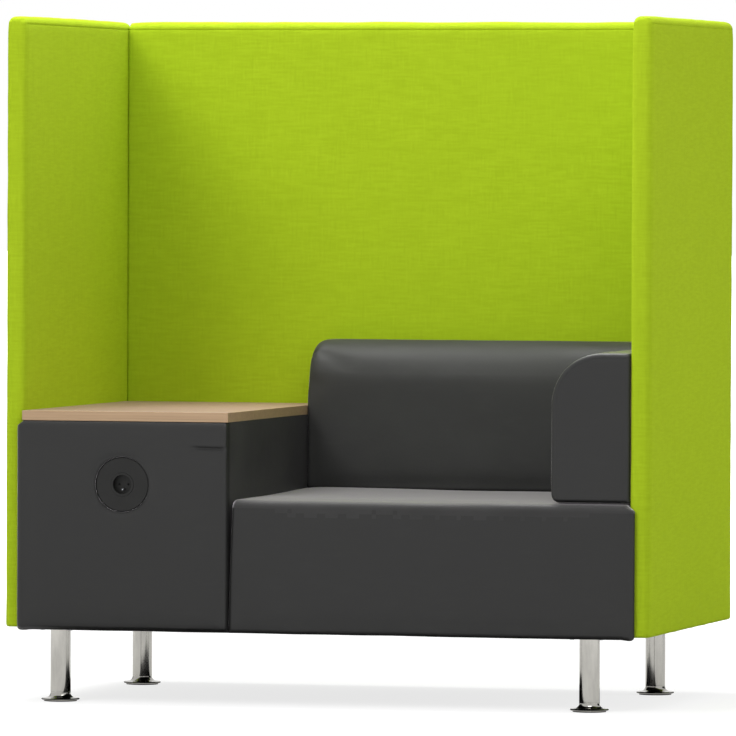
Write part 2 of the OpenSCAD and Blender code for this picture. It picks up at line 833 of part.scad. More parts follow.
module line_contacts() {
    color(brass_yellow) at_socket(-contact_depth - contact_l)
        line_spots()
            difference() {
                cylinder(d = contact_bore_d + 2 * contact_wall, h = contact_l);
                translate([0, 0, contact_floor_t])
                    cylinder(d = contact_bore_d, h = contact_l);
            }
}

module socket_shutter() {
    color("white") at_socket(-floor_back - shutter_gap - shutter_t) difference() {
        box([-shutter_w / 2, -shutter_foot, 0], [shutter_w / 2, shutter_head + shutter_travel, shutter_t]);
        line_spots()
            translate([0, shutter_travel, -over])
                cylinder(d = shutter_window_d, h = shutter_t + 2 * over);
        box([-shutter_notch_w / 2, -shutter_foot - over, -over],
            [shutter_notch_w / 2, -shutter_foot + shutter_notch_h, shutter_t + over]);
    }
}

// Coil springs under the shutter: a round wire swept up a helix
module shutter_springs() {
    coil_r = spring_d / 2;
    wire_r = spring_wire_d / 2;
    steps = spring_turns * spring_rings;
    climb = spring_l - spring_wire_d;
    middle = floor_back + coil_r + wire_r + shutter_gap;
    skin = [for (i = [0:steps], k = [0:spring_sides - 1])
        let (turn = 360 * i / spring_rings, round = 360 * k / spring_sides, r = coil_r + wire_r * cos(round))
        [r * cos(turn), climb * i / steps + wire_r * sin(round), -r * sin(turn)]];
    points = concat(skin, [[coil_r, 0, 0], [coil_r, climb, 0]]);
    color(steel_grey) at_socket(-middle)
        for (side = [-1, 1])
            translate([side * spring_x, -shutter_foot - spring_l + wire_r, 0])
                polyhedron(points, flipped(skin_faces(steps + 1, spring_sides)), convexity = 10);
}

module mounting_ring() {
    color(steel_grey) difference() {
        at_socket(-board_depth) difference() {
            cylinder(r = ring_r, h = ring_t);
            translate([0, 0, -over])
                cylinder(r = body_r + ring_gap, h = ring_t + 2 * over);
        }
        ring_screw_spots(-board_depth - over)
            cylinder(d = ring_screw_d + 2 * slip, h = ring_t + 2 * over);
    }
}

module ring_screws() {
    color(steel_grey)
        ring_screw_spots(-board_depth + ring_t - ring_screw_l) {
            cylinder(d = ring_screw_d, h = ring_screw_l);
            translate([0, 0, ring_screw_l])
                cylinder(d = ring_screw_head_d, h = ring_screw_head_h);
        }
}

module back_box() {
    gland_y = bezel_y + gland_depth;
    gland_top_z = socket_z - box_r + box_wall;
    color(socket_black) difference() {
        union() {
            at_socket(-box_depth)
                cylinder(r = box_r, h = box_depth - board_depth);
            rod([socket_x, gland_y, gland_top_z],
                [socket_x, gland_y, gland_top_z - box_wall - gland_h], 2 * gland_r);
        }
        at_socket(-box_depth + box_wall)
            cylinder(r = box_r - box_wall, h = box_depth);
        rod([socket_x, gland_y, socket_z], [socket_x, gland_y, hem_z], lead_d + 2 * slip);
    }
}

// Supply lead: down from the back box, round one bend, then along the base board to the inlet
module supply_lead() {
    lead_y = bezel_y + gland_depth;
    lead_z = base_top_z + lead_r;
    lead_top_z = socket_z - box_r + 2 * box_wall;
    color("dimgray") {
        rod([socket_x, lead_y, lead_top_z], [socket_x, lead_y, lead_z + lead_bend_r], lead_d);
        translate([socket_x, lead_y + lead_bend_r, lead_z + lead_bend_r])
            rotate([0, 90, 0])
                rotate([0, 0, 180 + 90])
                    rotate_extrude(angle = 90)
                        translate([lead_bend_r, 0])
                            circle(r = lead_r);
        rod([socket_x, lead_y + lead_bend_r, lead_z],
            [socket_x, inlet_y - inlet_d / 2 + lead_socket_l, lead_z], lead_d);
    }
}

module lead_clips() {
    run_start = bezel_y + gland_depth + lead_bend_r;
    run_end = inlet_y - inlet_d / 2;
    lead_z = base_top_z + lead_r;
    color("dimgray")
        for (share = clip_shares) {
            y = run_start + share * (run_end - run_start);
            difference() {
                box([socket_x - clip_w / 2, y - clip_l / 2, base_top_z],
                    [socket_x + clip_w / 2, y + clip_l / 2, lead_z + lead_r + clip_roof_t]);
                rod([socket_x, y - clip_l, lead_z], [socket_x, y + clip_l, lead_z], lead_d + 2 * slip);
                box([socket_x - lead_r - slip, y - clip_l, 0],
                    [socket_x + lead_r + slip, y + clip_l, lead_z]);
            }
        }
}

module power_inlet() {
    flange_z = panel_z - inlet_flange_t;
    roof_z = flange_z + inlet_cavity_h;
    color(socket_black) {
        difference() {
            union() {
                translate([socket_x, inlet_y, flange_z])
                    translate([-inlet_flange_w / 2, -inlet_flange_d / 2, 0])
                        cube([inlet_flange_w, inlet_flange_d, inlet_flange_t]);
                box([socket_x - inlet_w / 2, inlet_y - inlet_d / 2, flange_z],
                    [socket_x + inlet_w / 2, inlet_y + inlet_d / 2, roof_z + inlet_roof_t]);
            }
            box([socket_x - inlet_cavity_w / 2, inlet_y - inlet_cavity_d / 2, flange_z - over],
                [socket_x + inlet_cavity_w / 2, inlet_y + inlet_cavity_d / 2, roof_z]);
            rod([socket_x, inlet_y - inlet_d, base_top_z + lead_r],
                [socket_x, inlet_y - inlet_d / 2 + lead_socket_l, base_top_z + lead_r], lead_d + 2 * slip);
        }
        for (spot = [[-line_blade_x, line_blade_y], [line_blade_x, line_blade_y], [0, earth_blade_y]])
            box([socket_x + spot.x - blade_w / 2, inlet_y + spot.y - blade_d / 2, flange_z + blade_foot_gap],
                [socket_x + spot.x + blade_w / 2, inlet_y + spot.y + blade_d / 2, roof_z + over]);
    }
}

// Seat
module seat_left_board() {
    color(bare_wood) difference() {
        box([seat_frame_x, frame_front_y + board_t, base_top_z],
            [seat_frame_x + board_t, frame_rear_y, frame_top_z]);
        base_screw_holes();
        joining_holes(bolt_d + 2 * slip);
    }
}

module seat_right_board() {
    color(bare_wood) difference() {
        box([inner_x - board_t, frame_front_y + board_t, base_top_z], [inner_x, frame_rear_y, frame_top_z]);
        base_screw_holes();
        panel_bolt_holes(bolt_d + 2 * slip);
        bar_bolt_holes(bolt_d + 2 * slip);
    }
}

module seat_front_board() {
    color(bare_wood) difference() {
        box([seat_frame_x, frame_front_y, base_top_z], [inner_x, frame_front_y + board_t, frame_top_z]);
        base_screw_holes();
    }
}

module seat_webbing() {
    color("black")
        for (i = [0:webbing_count - 1]) {
            x = seat_frame_x + (i + 0.5) * webbing_pitch;
            box([x - webbing_w / 2, frame_front_y, frame_top_z],
                [x + webbing_w / 2, back_face_y, frame_top_z + webbing_t]);
        }
}

module seat_foam() {
    color(foam_cream) difference() {
        box([seat_frame_x + foam_gap, frame_front_y + foam_gap, frame_top_z + webbing_t],
            [inner_x - foam_gap, back_face_y - foam_gap, foam_top_z - foam_gap]);
        bar_slots();
    }
}

module seat_cover() {
    color(anthracite) difference() {
        padded_block("x", [split_x, inner_x], [front_y + front_crown, hem_z], [back_face_y, seat_z],
            [box_edge_r, hidden_edge_r, hidden_edge_r, seat_front_r], small_steps * [1, 1, 1, 1],
            [2, 1, 2 * face_steps, face_steps],
            [side_pad_t, side_pad_t], steps = 2 * block_steps,
            face_crown = front_crown, top_crown = seat_crown,
            open_s = [split_x, armrest_x - seat_step],
            open_u = [front_y + front_crown, backrest_y - seat_depth_step], open_v = [hem_z, seat_z]);
        box([seat_frame_x, frame_front_y, 0], [inner_x + over, back_face_y + over, foam_top_z]);
        base_room();
        joining_holes(bolt_d + 2 * slip);
        bar_slots();
    }
}

// Backrest
rest_low_z = seat_z + side_pad_t;
backrest_foam_r = backrest_r - rest_pad_t;
module backrest_board() {
    color(bare_wood) difference() {
        box([split_x + side_pad_t, frame_rear_y, rest_low_z],
            [inner_x - side_pad_t, back_face_y, backrest_z - rest_pad_t]);
        bar_bolt_holes(bolt_d + 2 * slip);
    }
}

module backrest_core(gap) {
    translate([split_x + side_pad_t + gap, 0, 0])
        rotate([90, 0, 90])
            linear_extrude(height = inner_x - split_x - 2 * side_pad_t - 2 * gap)
                foam_section([backrest_y + backrest_crown + rest_pad_t + gap, rest_low_z + gap],
                    [back_face_y, backrest_z - rest_pad_t - gap], backrest_foam_r - gap);
}

module backrest_foam() {
    color(foam_cream) difference() {
        backrest_core(foam_gap);
        box([split_x, frame_rear_y, seat_z], [inner_x, back_face_y + over, backrest_z]);
        bar_slots();
    }
}

module backrest_cover() {
    color(anthracite) difference() {
        padded_block("x", [split_x, inner_x],
            [backrest_y + backrest_crown, seat_z], [back_face_y, backrest_z],
            [box_edge_r, hidden_edge_r, box_edge_r, backrest_r],
            [small_steps, small_steps, small_steps, large_steps], [1, 1, 1, face_steps],
            [box_edge_r, side_pad_t], face_crown = backrest_crown,
            open_s = [split_x, armrest_x - backrest_step], open_v = [seat_z, backrest_z]);
        backrest_core(0);
        box([split_x + side_pad_t, frame_rear_y, rest_low_z],
            [inner_x - side_pad_t, back_face_y + over, backrest_z - rest_pad_t]);
        bar_slots();
    }
}

// Armrest
armrest_foam_r = armrest_r - rest_pad_t;
module armrest_board() {
    color(bare_wood) difference() {
        box([inner_x - board_t, armrest_y + rest_pad_t, rest_low_z],
            [inner_x, backrest_y + backrest_crown - side_pad_t, armrest_z - rest_pad_t]);
        bar_bolt_holes(bolt_d + 2 * slip);
    }
}

module armrest_core(gap) {
    translate([0, backrest_y + backrest_crown - side_pad_t - gap, 0])
        rotate([90, 0, 0])
            linear_extrude(
                height = backrest_y + backrest_crown - side_pad_t - armrest_y - rest_pad_t - 2 * gap)
                foam_section([armrest_x + armrest_crown + rest_pad_t + gap, rest_low_z + gap],
                    [inner_x, armrest_z - rest_pad_t - gap], armrest_foam_r - gap);
}

module armrest_foam() {
    color(foam_cream) difference() {
        armrest_core(foam_gap);
        box([inner_x - board_t, armrest_y, seat_z], [inner_x + over, backrest_y + over, armrest_z]);
        bar_slots();
    }
}

module armrest_cover() {
    rear = backrest_y + backrest_crown;
    color(anthracite) difference() {
        padded_block("y", [armrest_y, rear], [armrest_x + armrest_crown, seat_z], [inner_x, armrest_z],
            [box_edge_r, armrest_hidden_share * box_edge_r, hidden_edge_r, armrest_r],
            [small_steps, 1, small_steps, large_steps], [1, 1, 1, face_steps],
            [side_pad_t, 0], face_crown = armrest_crown,
            open_s = [armrest_y, rear], open_v = [seat_z, armrest_z]);
        armrest_core(0);
        box([inner_x - board_t, armrest_y + rest_pad_t, rest_low_z],
            [inner_x + over, rear - side_pad_t, armrest_z - rest_pad_t]);
        bar_slots();
    }
}

module support_bars() {
    color(steel_grey) difference() {
        union() {
            for (x = bar_xs)
                box([x - bar_w / 2, frame_rear_y - bar_t, bar_low_z],
                    [x + bar_w / 2, frame_rear_y, bar_high_z]);
            for (y = bar_ys)
                box([inner_x - board_t - bar_t, y - bar_w / 2, bar_low_z],
                    [inner_x - board_t, y + bar_w / 2, bar_high_z]);
        }
        bar_bolt_holes(bolt_d + 2 * slip);
    }
}

module bar_bolts() {
    color(steel_grey) {
        for (x = bar_xs, z = bar_hole_zs) {
            rod([x, frame_rear_y - bar_t, z], [x, back_face_y - bolt_tip_gap - slip, z], bolt_d);
            rod([x, frame_rear_y - bar_t - bolt_head_h, z], [x, frame_rear_y - bar_t, z], bolt_head_d);
        }
        for (y = bar_ys, z = bar_hole_zs) {
            rod([inner_x - board_t - bar_t, y, z], [inner_x - bolt_tip_gap - slip, y, z], bolt_d);
            rod([inner_x - board_t - bar_t - bolt_head_h, y, z],
                [inner_x - board_t - bar_t, y, z], bolt_head_d);
        }
    }
}

// Bolts that hold the panels to the boxes, and the boxes to each other
module frame_bolts() {
    color(steel_grey) {
        for (side = [-1, 1], y = side_bolt_ys) {
            face = side * (inner_x - board_t);
            rod([face, y, bolt_z], [side * (side_tip_x - slip), y, bolt_z], bolt_d);
            rod([face - side * bolt_head_h, y, bolt_z], [face, y, bolt_z], bolt_head_d);
        }
        for (x = rear_bolt_xs) {
            rod([x, frame_rear_y, bolt_z], [x, rear_tip_y - slip, bolt_z], bolt_d);
            rod([x, frame_rear_y - bolt_head_h, bolt_z], [x, frame_rear_y, bolt_z], bolt_head_d);
        }
        for (y = joining_ys, z = joining_zs) {
            rod([pedestal_board_x, y, z], [seat_frame_x + board_t, y, z], bolt_d);
            rod([pedestal_board_x - bolt_head_h, y, z], [pedestal_board_x, y, z], bolt_head_d);
            rod([seat_frame_x + board_t, y, z], [seat_frame_x + board_t + bolt_head_h, y, z], bolt_head_d);
        }
    }
}

module panel_inserts() {
    color(brass_yellow) difference() {
        intersection() {
            insert_holes(insert_d);
            box([-side_tip_x + slip, -total_d, 0], [side_tip_x - slip, rear_tip_y - slip, overall_h]);
        }
        panel_bolt_holes(bolt_d + 2 * slip);
    }
}

module frame_screws() {
    color(steel_grey) {
        for (p = base_screws)
            translate([p.x, p.y, panel_z])
                screw(screw_l, screw_d, screw_head_d, screw_head_h - slip);
        for (p = batten_screws)
            translate([p.x, p.y, table_under_z - batten_w - screw_head_h])
                screw(screw_l, screw_d, screw_head_d, screw_head_h);
    }
}

module leg_screws() {
    color(steel_grey)
        for (place = leg_places)
            leg_screw_spots(place)
                translate([0, 0, panel_z - leg_plate_t - screw_head_h])
                    screw(screw_head_h + leg_screw_l, screw_d, screw_head_d, screw_head_h);
}

// Legs: tube, square plate on top and threaded plug below
module leg(place) {
    tube_top_z = panel_z - leg_plate_t;
    color(chrome_grey) difference() {
        union() {
            translate([place.x, place.y, leg_bottom_z])
                cylinder(d = leg_d, h = tube_top_z - leg_bottom_z);
            box([place.x - leg_plate_w / 2, place.y - leg_plate_w / 2, tube_top_z],
                [place.x + leg_plate_w / 2, place.y + leg_plate_w / 2, panel_z]);
        }
        translate([place.x, place.y, leg_bottom_z + leg_plug_l])
            cylinder(d = leg_d - 2 * leg_wall, h = tube_top_z - leg_bottom_z - leg_plug_l);
        translate([place.x, place.y, 0])
            cylinder(d = stem_d + 2 * slip, h = tube_top_z - leg_wall);
        leg_screw_spots(place)
            translate([0, 0, tube_top_z - over])
                cylinder(d = screw_d + 2 * slip, h = leg_plate_t + 2 * over);
    }
}

// Levelling foot: flared rim, collar and threaded stem, turned about the leg's axis
module foot(place) {
    low_z = glide_t + foot_gap;
    rim_z = low_z + foot_rim_h;
    rim_r = foot_d / 2;
    bevel = foot_rim_h / 4;
    collar_r = leg_d / 2;
    top_z = foot_h - foot_gap;
    color(chrome_grey) translate([place.x, place.y, 0]) difference() {
        rotate_extrude() difference() {
            polygon([
                [0, low_z], [rim_r - bevel, low_z], [rim_r, low_z + bevel], [rim_r, rim_z - bevel],
                [rim_r - bevel, rim_z], [collar_r + foot_fillet_r, rim_z + bevel],
                [collar_r + foot_fillet_r, rim_z + bevel + foot_fillet_r],
                [collar_r, rim_z + bevel + foot_fillet_r], [collar_r, top_z],
                [stem_d / 2, top_z], [stem_d / 2, top_z + stem_l], [0, top_z + stem_l]]);
            translate([collar_r + foot_fillet_r, rim_z + bevel + foot_fillet_r])
                circle(r = foot_fillet_r);
        }
        translate([0, 0, -over])
            cylinder(d = pivot_d + 2 * slip, h = low_z + pivot_h + over);
    }
}

module glide(place) {
    color(socket_black) translate([place.x, place.y, 0]) {
        cylinder(d = glide_d, h = glide_t);
        cylinder(d = pivot_d, h = glide_t + pivot_h);
    }
}

left_panel_board();
left_panel_cover();
right_panel_board();
right_panel_cover();
back_panel_board();
back_panel_cover();
corner_dowels();
base_board();
rear_rail();
pedestal_left_board();
pedestal_right_board();
pedestal_front_board();
pedestal_cover();
table_battens();
table_top();
table_edge_band();
socket_bezel();
socket_insert();
socket_body();
earth_pin();
line_contacts();
socket_shutter();
shutter_springs();
mounting_ring();
ring_screws();
back_box();
supply_lead();
lead_clips();
power_inlet();
seat_left_board();
seat_right_board();
seat_front_board();
seat_webbing();
seat_foam();
seat_cover();
backrest_board();
backrest_foam();
backrest_cover();
armrest_board();
armrest_foam();
armrest_cover();
support_bars();
bar_bolts();
frame_bolts();
panel_inserts();
frame_screws();
leg_screws();
leg(leg_places[0]);  // leg_front_left
leg(leg_places[1]);  // leg_rear_left
leg(leg_places[2]);  // leg_front_right
leg(leg_places[3]);  // leg_rear_right
foot(leg_places[0]);  // foot_front_left
foot(leg_places[1]);  // foot_rear_left
foot(leg_places[2]);  // foot_front_right
foot(leg_places[3]);  // foot_rear_right
glide(leg_places[0]);  // glide_front_left
glide(leg_places[1]);  // glide_rear_left
glide(leg_places[2]);  // glide_front_right
glide(leg_places[3]);  // glide_rear_right
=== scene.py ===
import math

import bpy
import numpy as np
from mathutils import Matrix, Vector, kdtree, noise


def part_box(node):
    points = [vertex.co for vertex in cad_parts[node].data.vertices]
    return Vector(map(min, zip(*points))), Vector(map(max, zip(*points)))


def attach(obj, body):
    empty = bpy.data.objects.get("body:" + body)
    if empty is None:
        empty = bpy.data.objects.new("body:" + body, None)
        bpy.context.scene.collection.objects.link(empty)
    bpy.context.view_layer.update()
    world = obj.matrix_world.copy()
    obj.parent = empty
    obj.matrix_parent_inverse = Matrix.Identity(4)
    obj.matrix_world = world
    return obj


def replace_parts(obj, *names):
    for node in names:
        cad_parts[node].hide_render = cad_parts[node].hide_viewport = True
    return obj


# Looks of a high-back lounge seat with padded panels, a side table, an armrest and a socket.
# Metres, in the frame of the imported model: the seat faces -Y and +Z is up.

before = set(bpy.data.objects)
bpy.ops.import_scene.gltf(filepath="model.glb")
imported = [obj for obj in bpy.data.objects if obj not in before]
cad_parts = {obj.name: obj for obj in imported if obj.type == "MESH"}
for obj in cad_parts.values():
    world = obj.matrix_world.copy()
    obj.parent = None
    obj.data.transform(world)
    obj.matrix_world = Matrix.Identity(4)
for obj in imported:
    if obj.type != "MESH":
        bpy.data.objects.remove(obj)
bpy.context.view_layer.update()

MM = 0.001
X, Y, Z = 0, 1, 2
LOW, HIGH = -1, 1

# A point within ON_FACE of a face lies on it; the others keep sums from dividing by nothing
ON_FACE = 1e-6
TINY = 1e-9
LEAST = 1e-6
LEAST_NORMAL = 1e-12

# Camera of the photograph
IMAGE_WIDTH = 736
FOCAL_PIXELS = 8537.5
SENSOR_MM = 36
CAMERA_AZIMUTH = 0.25701
CAMERA_ELEVATION = 0.023397
CAMERA_ROLL = 0.004175
CAMERA_DISTANCE = 17.8333
CAMERA_TARGET = Vector((-0.0091, 0, 0.6882))
CAMERA_CLIP = (1, 400)

# Padded panels
PANEL_R = 12 * MM
PANEL_TOP_R = 15 * MM
PANEL_FOOT_R = 6 * MM
PANEL_BACK_R = 6 * MM
PANEL_STEP = 11 * MM
PANEL_UNDERLAP = 0.6 * MM
BORDER_REACH = 45 * MM
FOOT_BORDER_REACH = 40 * MM
TOP_WAVE_REACH = 26 * MM
CORNER_PULL = 2.2 * MM
CORNER_REACH = 20 * MM
SEAM_INSET = 2 * MM
SEAM_DEPTH = 1.1 * MM
SEAM_WIDTH = 1.3 * MM
SEAM_STOPS = (-3.6 * MM, -1.2 * MM, 0, 1.2 * MM, 3.6 * MM)

# Upholstered boxes
PAD_STEP = 9 * MM
DEEP_STEP = PAD_STEP * 3
BOX_R = 9 * MM
HEM_R = 14 * MM
CORNER_R = 5 * MM
TABLE_JOIN_R = 1.5 * MM
SIDE_R = 10 * MM
FRONT_CROWN = 3 * MM
FRONT_BULGE = 8 * MM
BULGE_TOP = 18 * MM
BULGE_FOOT = 16 * MM
BULGE_STOPS = (3 * MM, 5 * MM, 8 * MM, 11 * MM, 15 * MM)
FRONT_PAD = 18 * MM
HEM_START = 2 * MM
HEM_DROP = 1.6 * MM
HEM_RISE = 5.5 * MM
HEM_FADE = 30 * MM
LIP_REACH = 13 * MM
LIP_START = 2 * MM
LIP_LEAD = 4 * MM
LIP_FADE = 30 * MM
LIP_TOP = 12 * MM
EAR_WIDTH = 12 * MM
EAR_DROP = 1.8 * MM

# Seat: its crown, the lift at the left rear, and the pulled-in front left corner
SEAT_CROWN = 5 * MM
SEAT_FRONT_R = 17 * MM
SEAT_LIFT = 4 * MM
SEAT_LIFT_X = 380 * MM
SEAT_LIFT_Y = 200 * MM
SEAT_PULL = 8 * MM
SEAT_PULL_X = 45 * MM
SEAT_PULL_Y = 70 * MM
SEAT_PULL_POWER = 1.6
SEAT_RIDGE = 25 * MM
RIDGE_HOLD = 0.6
# Faces of the seat that look up at least this much wear a lighter, sheenier copy of the leatherette:
# painted light on its top
SEAT_LIT_TOP = 0.12

# Backrest and armrest
BACKREST_CROWN = 5 * MM
BACKREST_R = 80 * MM
BACKREST_END_R = 26 * MM
BACKREST_SIDE_R = 7 * MM
BACKREST_FOOT_R = 4 * MM
BACKREST_RISE = 140 * MM
BACKREST_RISE_FULL = 60 * MM
BACKREST_REAR = 20 * MM
ARMREST_CROWN = 3 * MM
ARMREST_R = 105 * MM
ARMREST_FACE_R = 9 * MM
ARMREST_OUTER_R = 11 * MM
ARMREST_OUTER_TOP_R = 5 * MM
ARMREST_OUT = 5 * MM
ARMREST_SEAM_INSET = 2.5 * MM
ARMREST_SEAM_SHARE = 0.8
ARMREST_TOE = 4 * MM
ARMREST_TOE_X = 30 * MM
ARMREST_TOE_Y = 60 * MM
ARMREST_TOE_Z = 22 * MM

# Swell of the cushions: it begins a little under the next cushion and grows over a fade;
# in the simulation the covers are free where their share of it is over SEAT_FREE or BACKREST_FREE
UNDER_ARM = 8 * MM
UNDER_BACK = 5 * MM
SWELL_FADE = 30 * MM
BACKREST_FADE = 25 * MM
FOOT_FADE = 25 * MM
FRONT_BAND = 20 * MM
BEHIND_SHARE = 0.1
LEAST_SWELL = 0.02 * MM
SEAT_FREE = 0.5
BACKREST_FREE = 0.4

# Socket's place in the pedestal's front; each roll of the rim has a depth and a widening
HOLE_R = 57 * MM
HOLE_INNER = 50 * MM
HOLE_PATCH = 84 * MM
HOLE_STOPS = (-HOLE_PATCH, -HOLE_INNER, 0, HOLE_INNER, HOLE_PATCH)
HOLE_DIP = 8 * MM
HOLE_DIP_REACH = 9 * MM
HOLE_ROLLS = ((1 * MM, -0.3 * MM), (3 * MM, -0.6 * MM), (12 * MM, -0.6 * MM))

# Crease near the top right of the pedestal's front, with a low roll above it
CREASE_DROP = 54 * MM
CREASE_STOPS = [d * MM for d in (-12, -9, -6, -4, -2, 0, 2, 4, 6, 9, 12)]
CREASE_LEFT, CREASE_LEFT_FULL = -286 * MM, -262 * MM
CREASE_RIGHT, CREASE_RIGHT_FULL = -200 * MM, -212 * MM
CREASE_LEVEL_X = -240 * MM
CREASE_SLOPE = 0.03
CREASE_DEPTH = 4 * MM
CREASE_WIDTH = 3 * MM
ROLL_HEIGHT = 2 * MM
ROLL_ABOVE = 8 * MM
ROLL_WIDTH = 5 * MM

# Unevenness of hand-made covers: bumps per metre, seed and height; each seed moves the noise
SEED_STEPS = (7.31, 3.17, 5.73)
PANEL_WAVES = ((4.5, 1, 0.5 * MM), (19, 2, 0.22 * MM))
BORDER_WAVES = ((24, 3, 0.6 * MM),)
PANEL_TOP_WAVES = ((9, 5, 1.2 * MM),)
HEM_WAVES = ((9, 4, 0.9 * MM),)
PEDESTAL_WAVES = ((5, 6, 0.5 * MM), (16, 7, 0.25 * MM))
SEAT_FRONT_WAVES = ((5, 8, 0.5 * MM), (16, 9, 0.25 * MM))
SEAT_TOP_WAVES = ((6, 10, 0.8 * MM),)
BACKREST_WAVES = ((6, 11, 0.8 * MM), (18, 12, 0.25 * MM))
ARMREST_WAVES = ((7, 13, 0.5 * MM), (20, 14, 0.25 * MM))

# Bevel on the table
BEVELLED = {"table_top", "table_edge_band"}
WELD = 0.01 * MM
BEVEL = 0.8 * MM
BEVEL_ANGLE = math.radians(50)

# Studio: the floor is white to the eye further out, where the lamps don't reach
FLOOR_HALF = 90
FLOOR_GREY = 0.44
FLOOR_LIGHT = 2.15
FLOOR_WHITE = 0.36
FLOOR_NEAR = 2.2
FLOOR_FAR = 6
AMBIENT = 0.42
CARD_GREY = 0.01

# Lattice lines: the least distance between two, the least count in a rounded edge,
# and the share of a step that is left over without a further line
LEAST_GAP = 0.4 * MM
LEAST_TURNS = 3
STEP_SLACK = 0.01

# Cloth simulation
SIM_STEP = 15 * MM
SIM_R = 12 * MM
SIM_FRAMES = 20
SIM_PRESSURE = 4
SIM_NEIGHBOURS = 6
CLOTH_QUALITY = 4
CLOTH_MASS = 0.3
CLOTH_TENSION = 30
CLOTH_SHEAR = 15
CLOTH_BENDING = 4


def srgb(red, green, blue):
    """Linear colour of an 8-bit one."""
    def linear(value):
        share = value / 255
        return share / 12.92 if share <= 0.04045 else ((share + 0.055) / 1.055) ** 2.4
    return (linear(red), linear(green), linear(blue), 1)


# Materials

def set_or_link(tree, socket, value):
    """Gives a socket a constant, or links another node's output to it."""
    if isinstance(value, bpy.types.NodeSocket):
        tree.links.new(value, socket)
    else:
        socket.default_value = value


def node(tree, kind, inputs=None, **settings):
    """A shader node with its settings; its inputs take values or other nodes' outputs."""
    made = tree.nodes.new(kind)
    for key, value in settings.items():
        setattr(made, key, value)
    for key, value in (inputs or {}).items():
        set_or_link(tree, made.inputs[key], value)
    return made


def new_shader(name):
    """A material with a principled shader: the material, its tree and the shader."""
    made = bpy.data.materials.new(name)
    made.use_nodes = True
    return made, made.node_tree, made.node_tree.nodes["Principled BSDF"]


def finish_shader(made, tree, shader, colour, roughness, height, bump_mm, strength=1, **constants):
    """Links the colour, roughness and bump of a material and sets its constant sockets."""
    set_or_link(tree, shader.inputs["Base Color"], colour)
    set_or_link(tree, shader.inputs["Roughness"], roughness)
    bump = node(tree, "ShaderNodeBump", {"Height": height, "Strength": strength, "Distance": bump_mm * MM})
    tree.links.new(bump.outputs["Normal"], shader.inputs["Normal"])
    for key, value in constants.items():
        shader.inputs[key.replace("_", " ").title().replace("Ior", "IOR")].default_value = value
    return made


def stretched_noise(tree, scale, detail=3, rough=0.5):
    """Noise over the object's own coordinates, with a scale of its own along each axis."""
    place = node(tree, "ShaderNodeTexCoord").outputs["Object"]
    mapping = node(tree, "ShaderNodeMapping", {"Vector": place, "Scale": scale})
    made = node(tree, "ShaderNodeTexNoise", {
        "Vector": mapping.outputs["Vector"], "Scale": 1, "Detail": detail, "Roughness": rough})
    return made.outputs["Fac"]


def ramp(tree, factor, low, high, to_low=0, to_high=1):
    """A factor moved from one range to another and held within it."""
    made = node(tree, "ShaderNodeMapRange", {
        "Value": factor, "From Min": low, "From Max": high, "To Min": to_low, "To Max": to_high})
    return made.outputs["Result"]


def blend_colours(tree, factor, first, second):
    """A colour between two; the numbers are the mix node's sockets for colours."""
    return node(tree, "ShaderNodeMix", {0: factor, 6: first, 7: second}, data_type="RGBA").outputs[2]


def maths(tree, kind, first, second=0.0):
    """A sum or function of one or two values."""
    return node(tree, "ShaderNodeMath", {0: first, 1: second}, operation=kind).outputs["Value"]


def thread_height(tree, pitch):
    """Height of a plain weave: threads across run along X+Y, threads up along Z."""
    place = node(tree, "ShaderNodeTexCoord").outputs["Object"]
    axes = node(tree, "ShaderNodeSeparateXYZ", {"Vector": place})
    turn = math.pi / pitch
    across = maths(tree, "MULTIPLY", maths(tree, "ADD", axes.outputs["X"], axes.outputs["Y"]), turn)
    upward = maths(tree, "MULTIPLY", axes.outputs["Z"], turn)
    warp = maths(tree, "ABSOLUTE", maths(tree, "SINE", across))
    weft = maths(tree, "ABSOLUTE", maths(tree, "SINE", upward))
    over = maths(tree, "MULTIPLY", maths(tree, "COSINE", across), maths(tree, "COSINE", upward))
    weight = ramp(tree, over, -0.3, 0.3)
    under = maths(tree, "SUBTRACT", 1.0, weight)
    return maths(tree, "ADD", maths(tree, "MULTIPLY", warp, weight), maths(tree, "MULTIPLY", weft, under))


def lime_weave():
    """Melange wool weave: short slubs along and across, on a fine plain weave."""
    made, tree, shader = new_shader("lime_weave")
    flat_slubs = stretched_noise(tree, (26, 26, 210), 3, 0.55)
    tall_slubs = stretched_noise(tree, (210, 210, 26), 3, 0.55)
    clouds = stretched_noise(tree, (5, 5, 5), 3, 0.5)
    fibres = stretched_noise(tree, (420, 420, 420), 2, 0.6)
    body = blend_colours(tree, ramp(tree, flat_slubs, 0.34, 0.68), srgb(162, 188, 33), srgb(173, 200, 39))
    body = blend_colours(tree, ramp(tree, tall_slubs, 0.54, 0.72, 0, 0.4), body, srgb(182, 208, 46))
    body = blend_colours(tree, ramp(tree, tall_slubs, 0.28, 0.44, 0.45, 0), body, srgb(153, 179, 31))
    body = blend_colours(tree, ramp(tree, clouds, 0.3, 0.7, 0, 0.3), body, srgb(162, 190, 34))
    body = blend_colours(tree, ramp(tree, fibres, 0.3, 0.7, 0, 0.3), body, srgb(171, 197, 38))
    height = maths(tree, "ADD", thread_height(tree, 1.3 * MM), maths(tree, "MULTIPLY", fibres, 0.6))
    return finish_shader(
        made, tree, shader, body, ramp(tree, fibres, 0.3, 0.7, 0.82, 0.96), height, 0.25, 0.6,
        sheen_weight=0.3, sheen_roughness=0.5, sheen_tint=srgb(206, 226, 44), specular_ior_level=0.04)


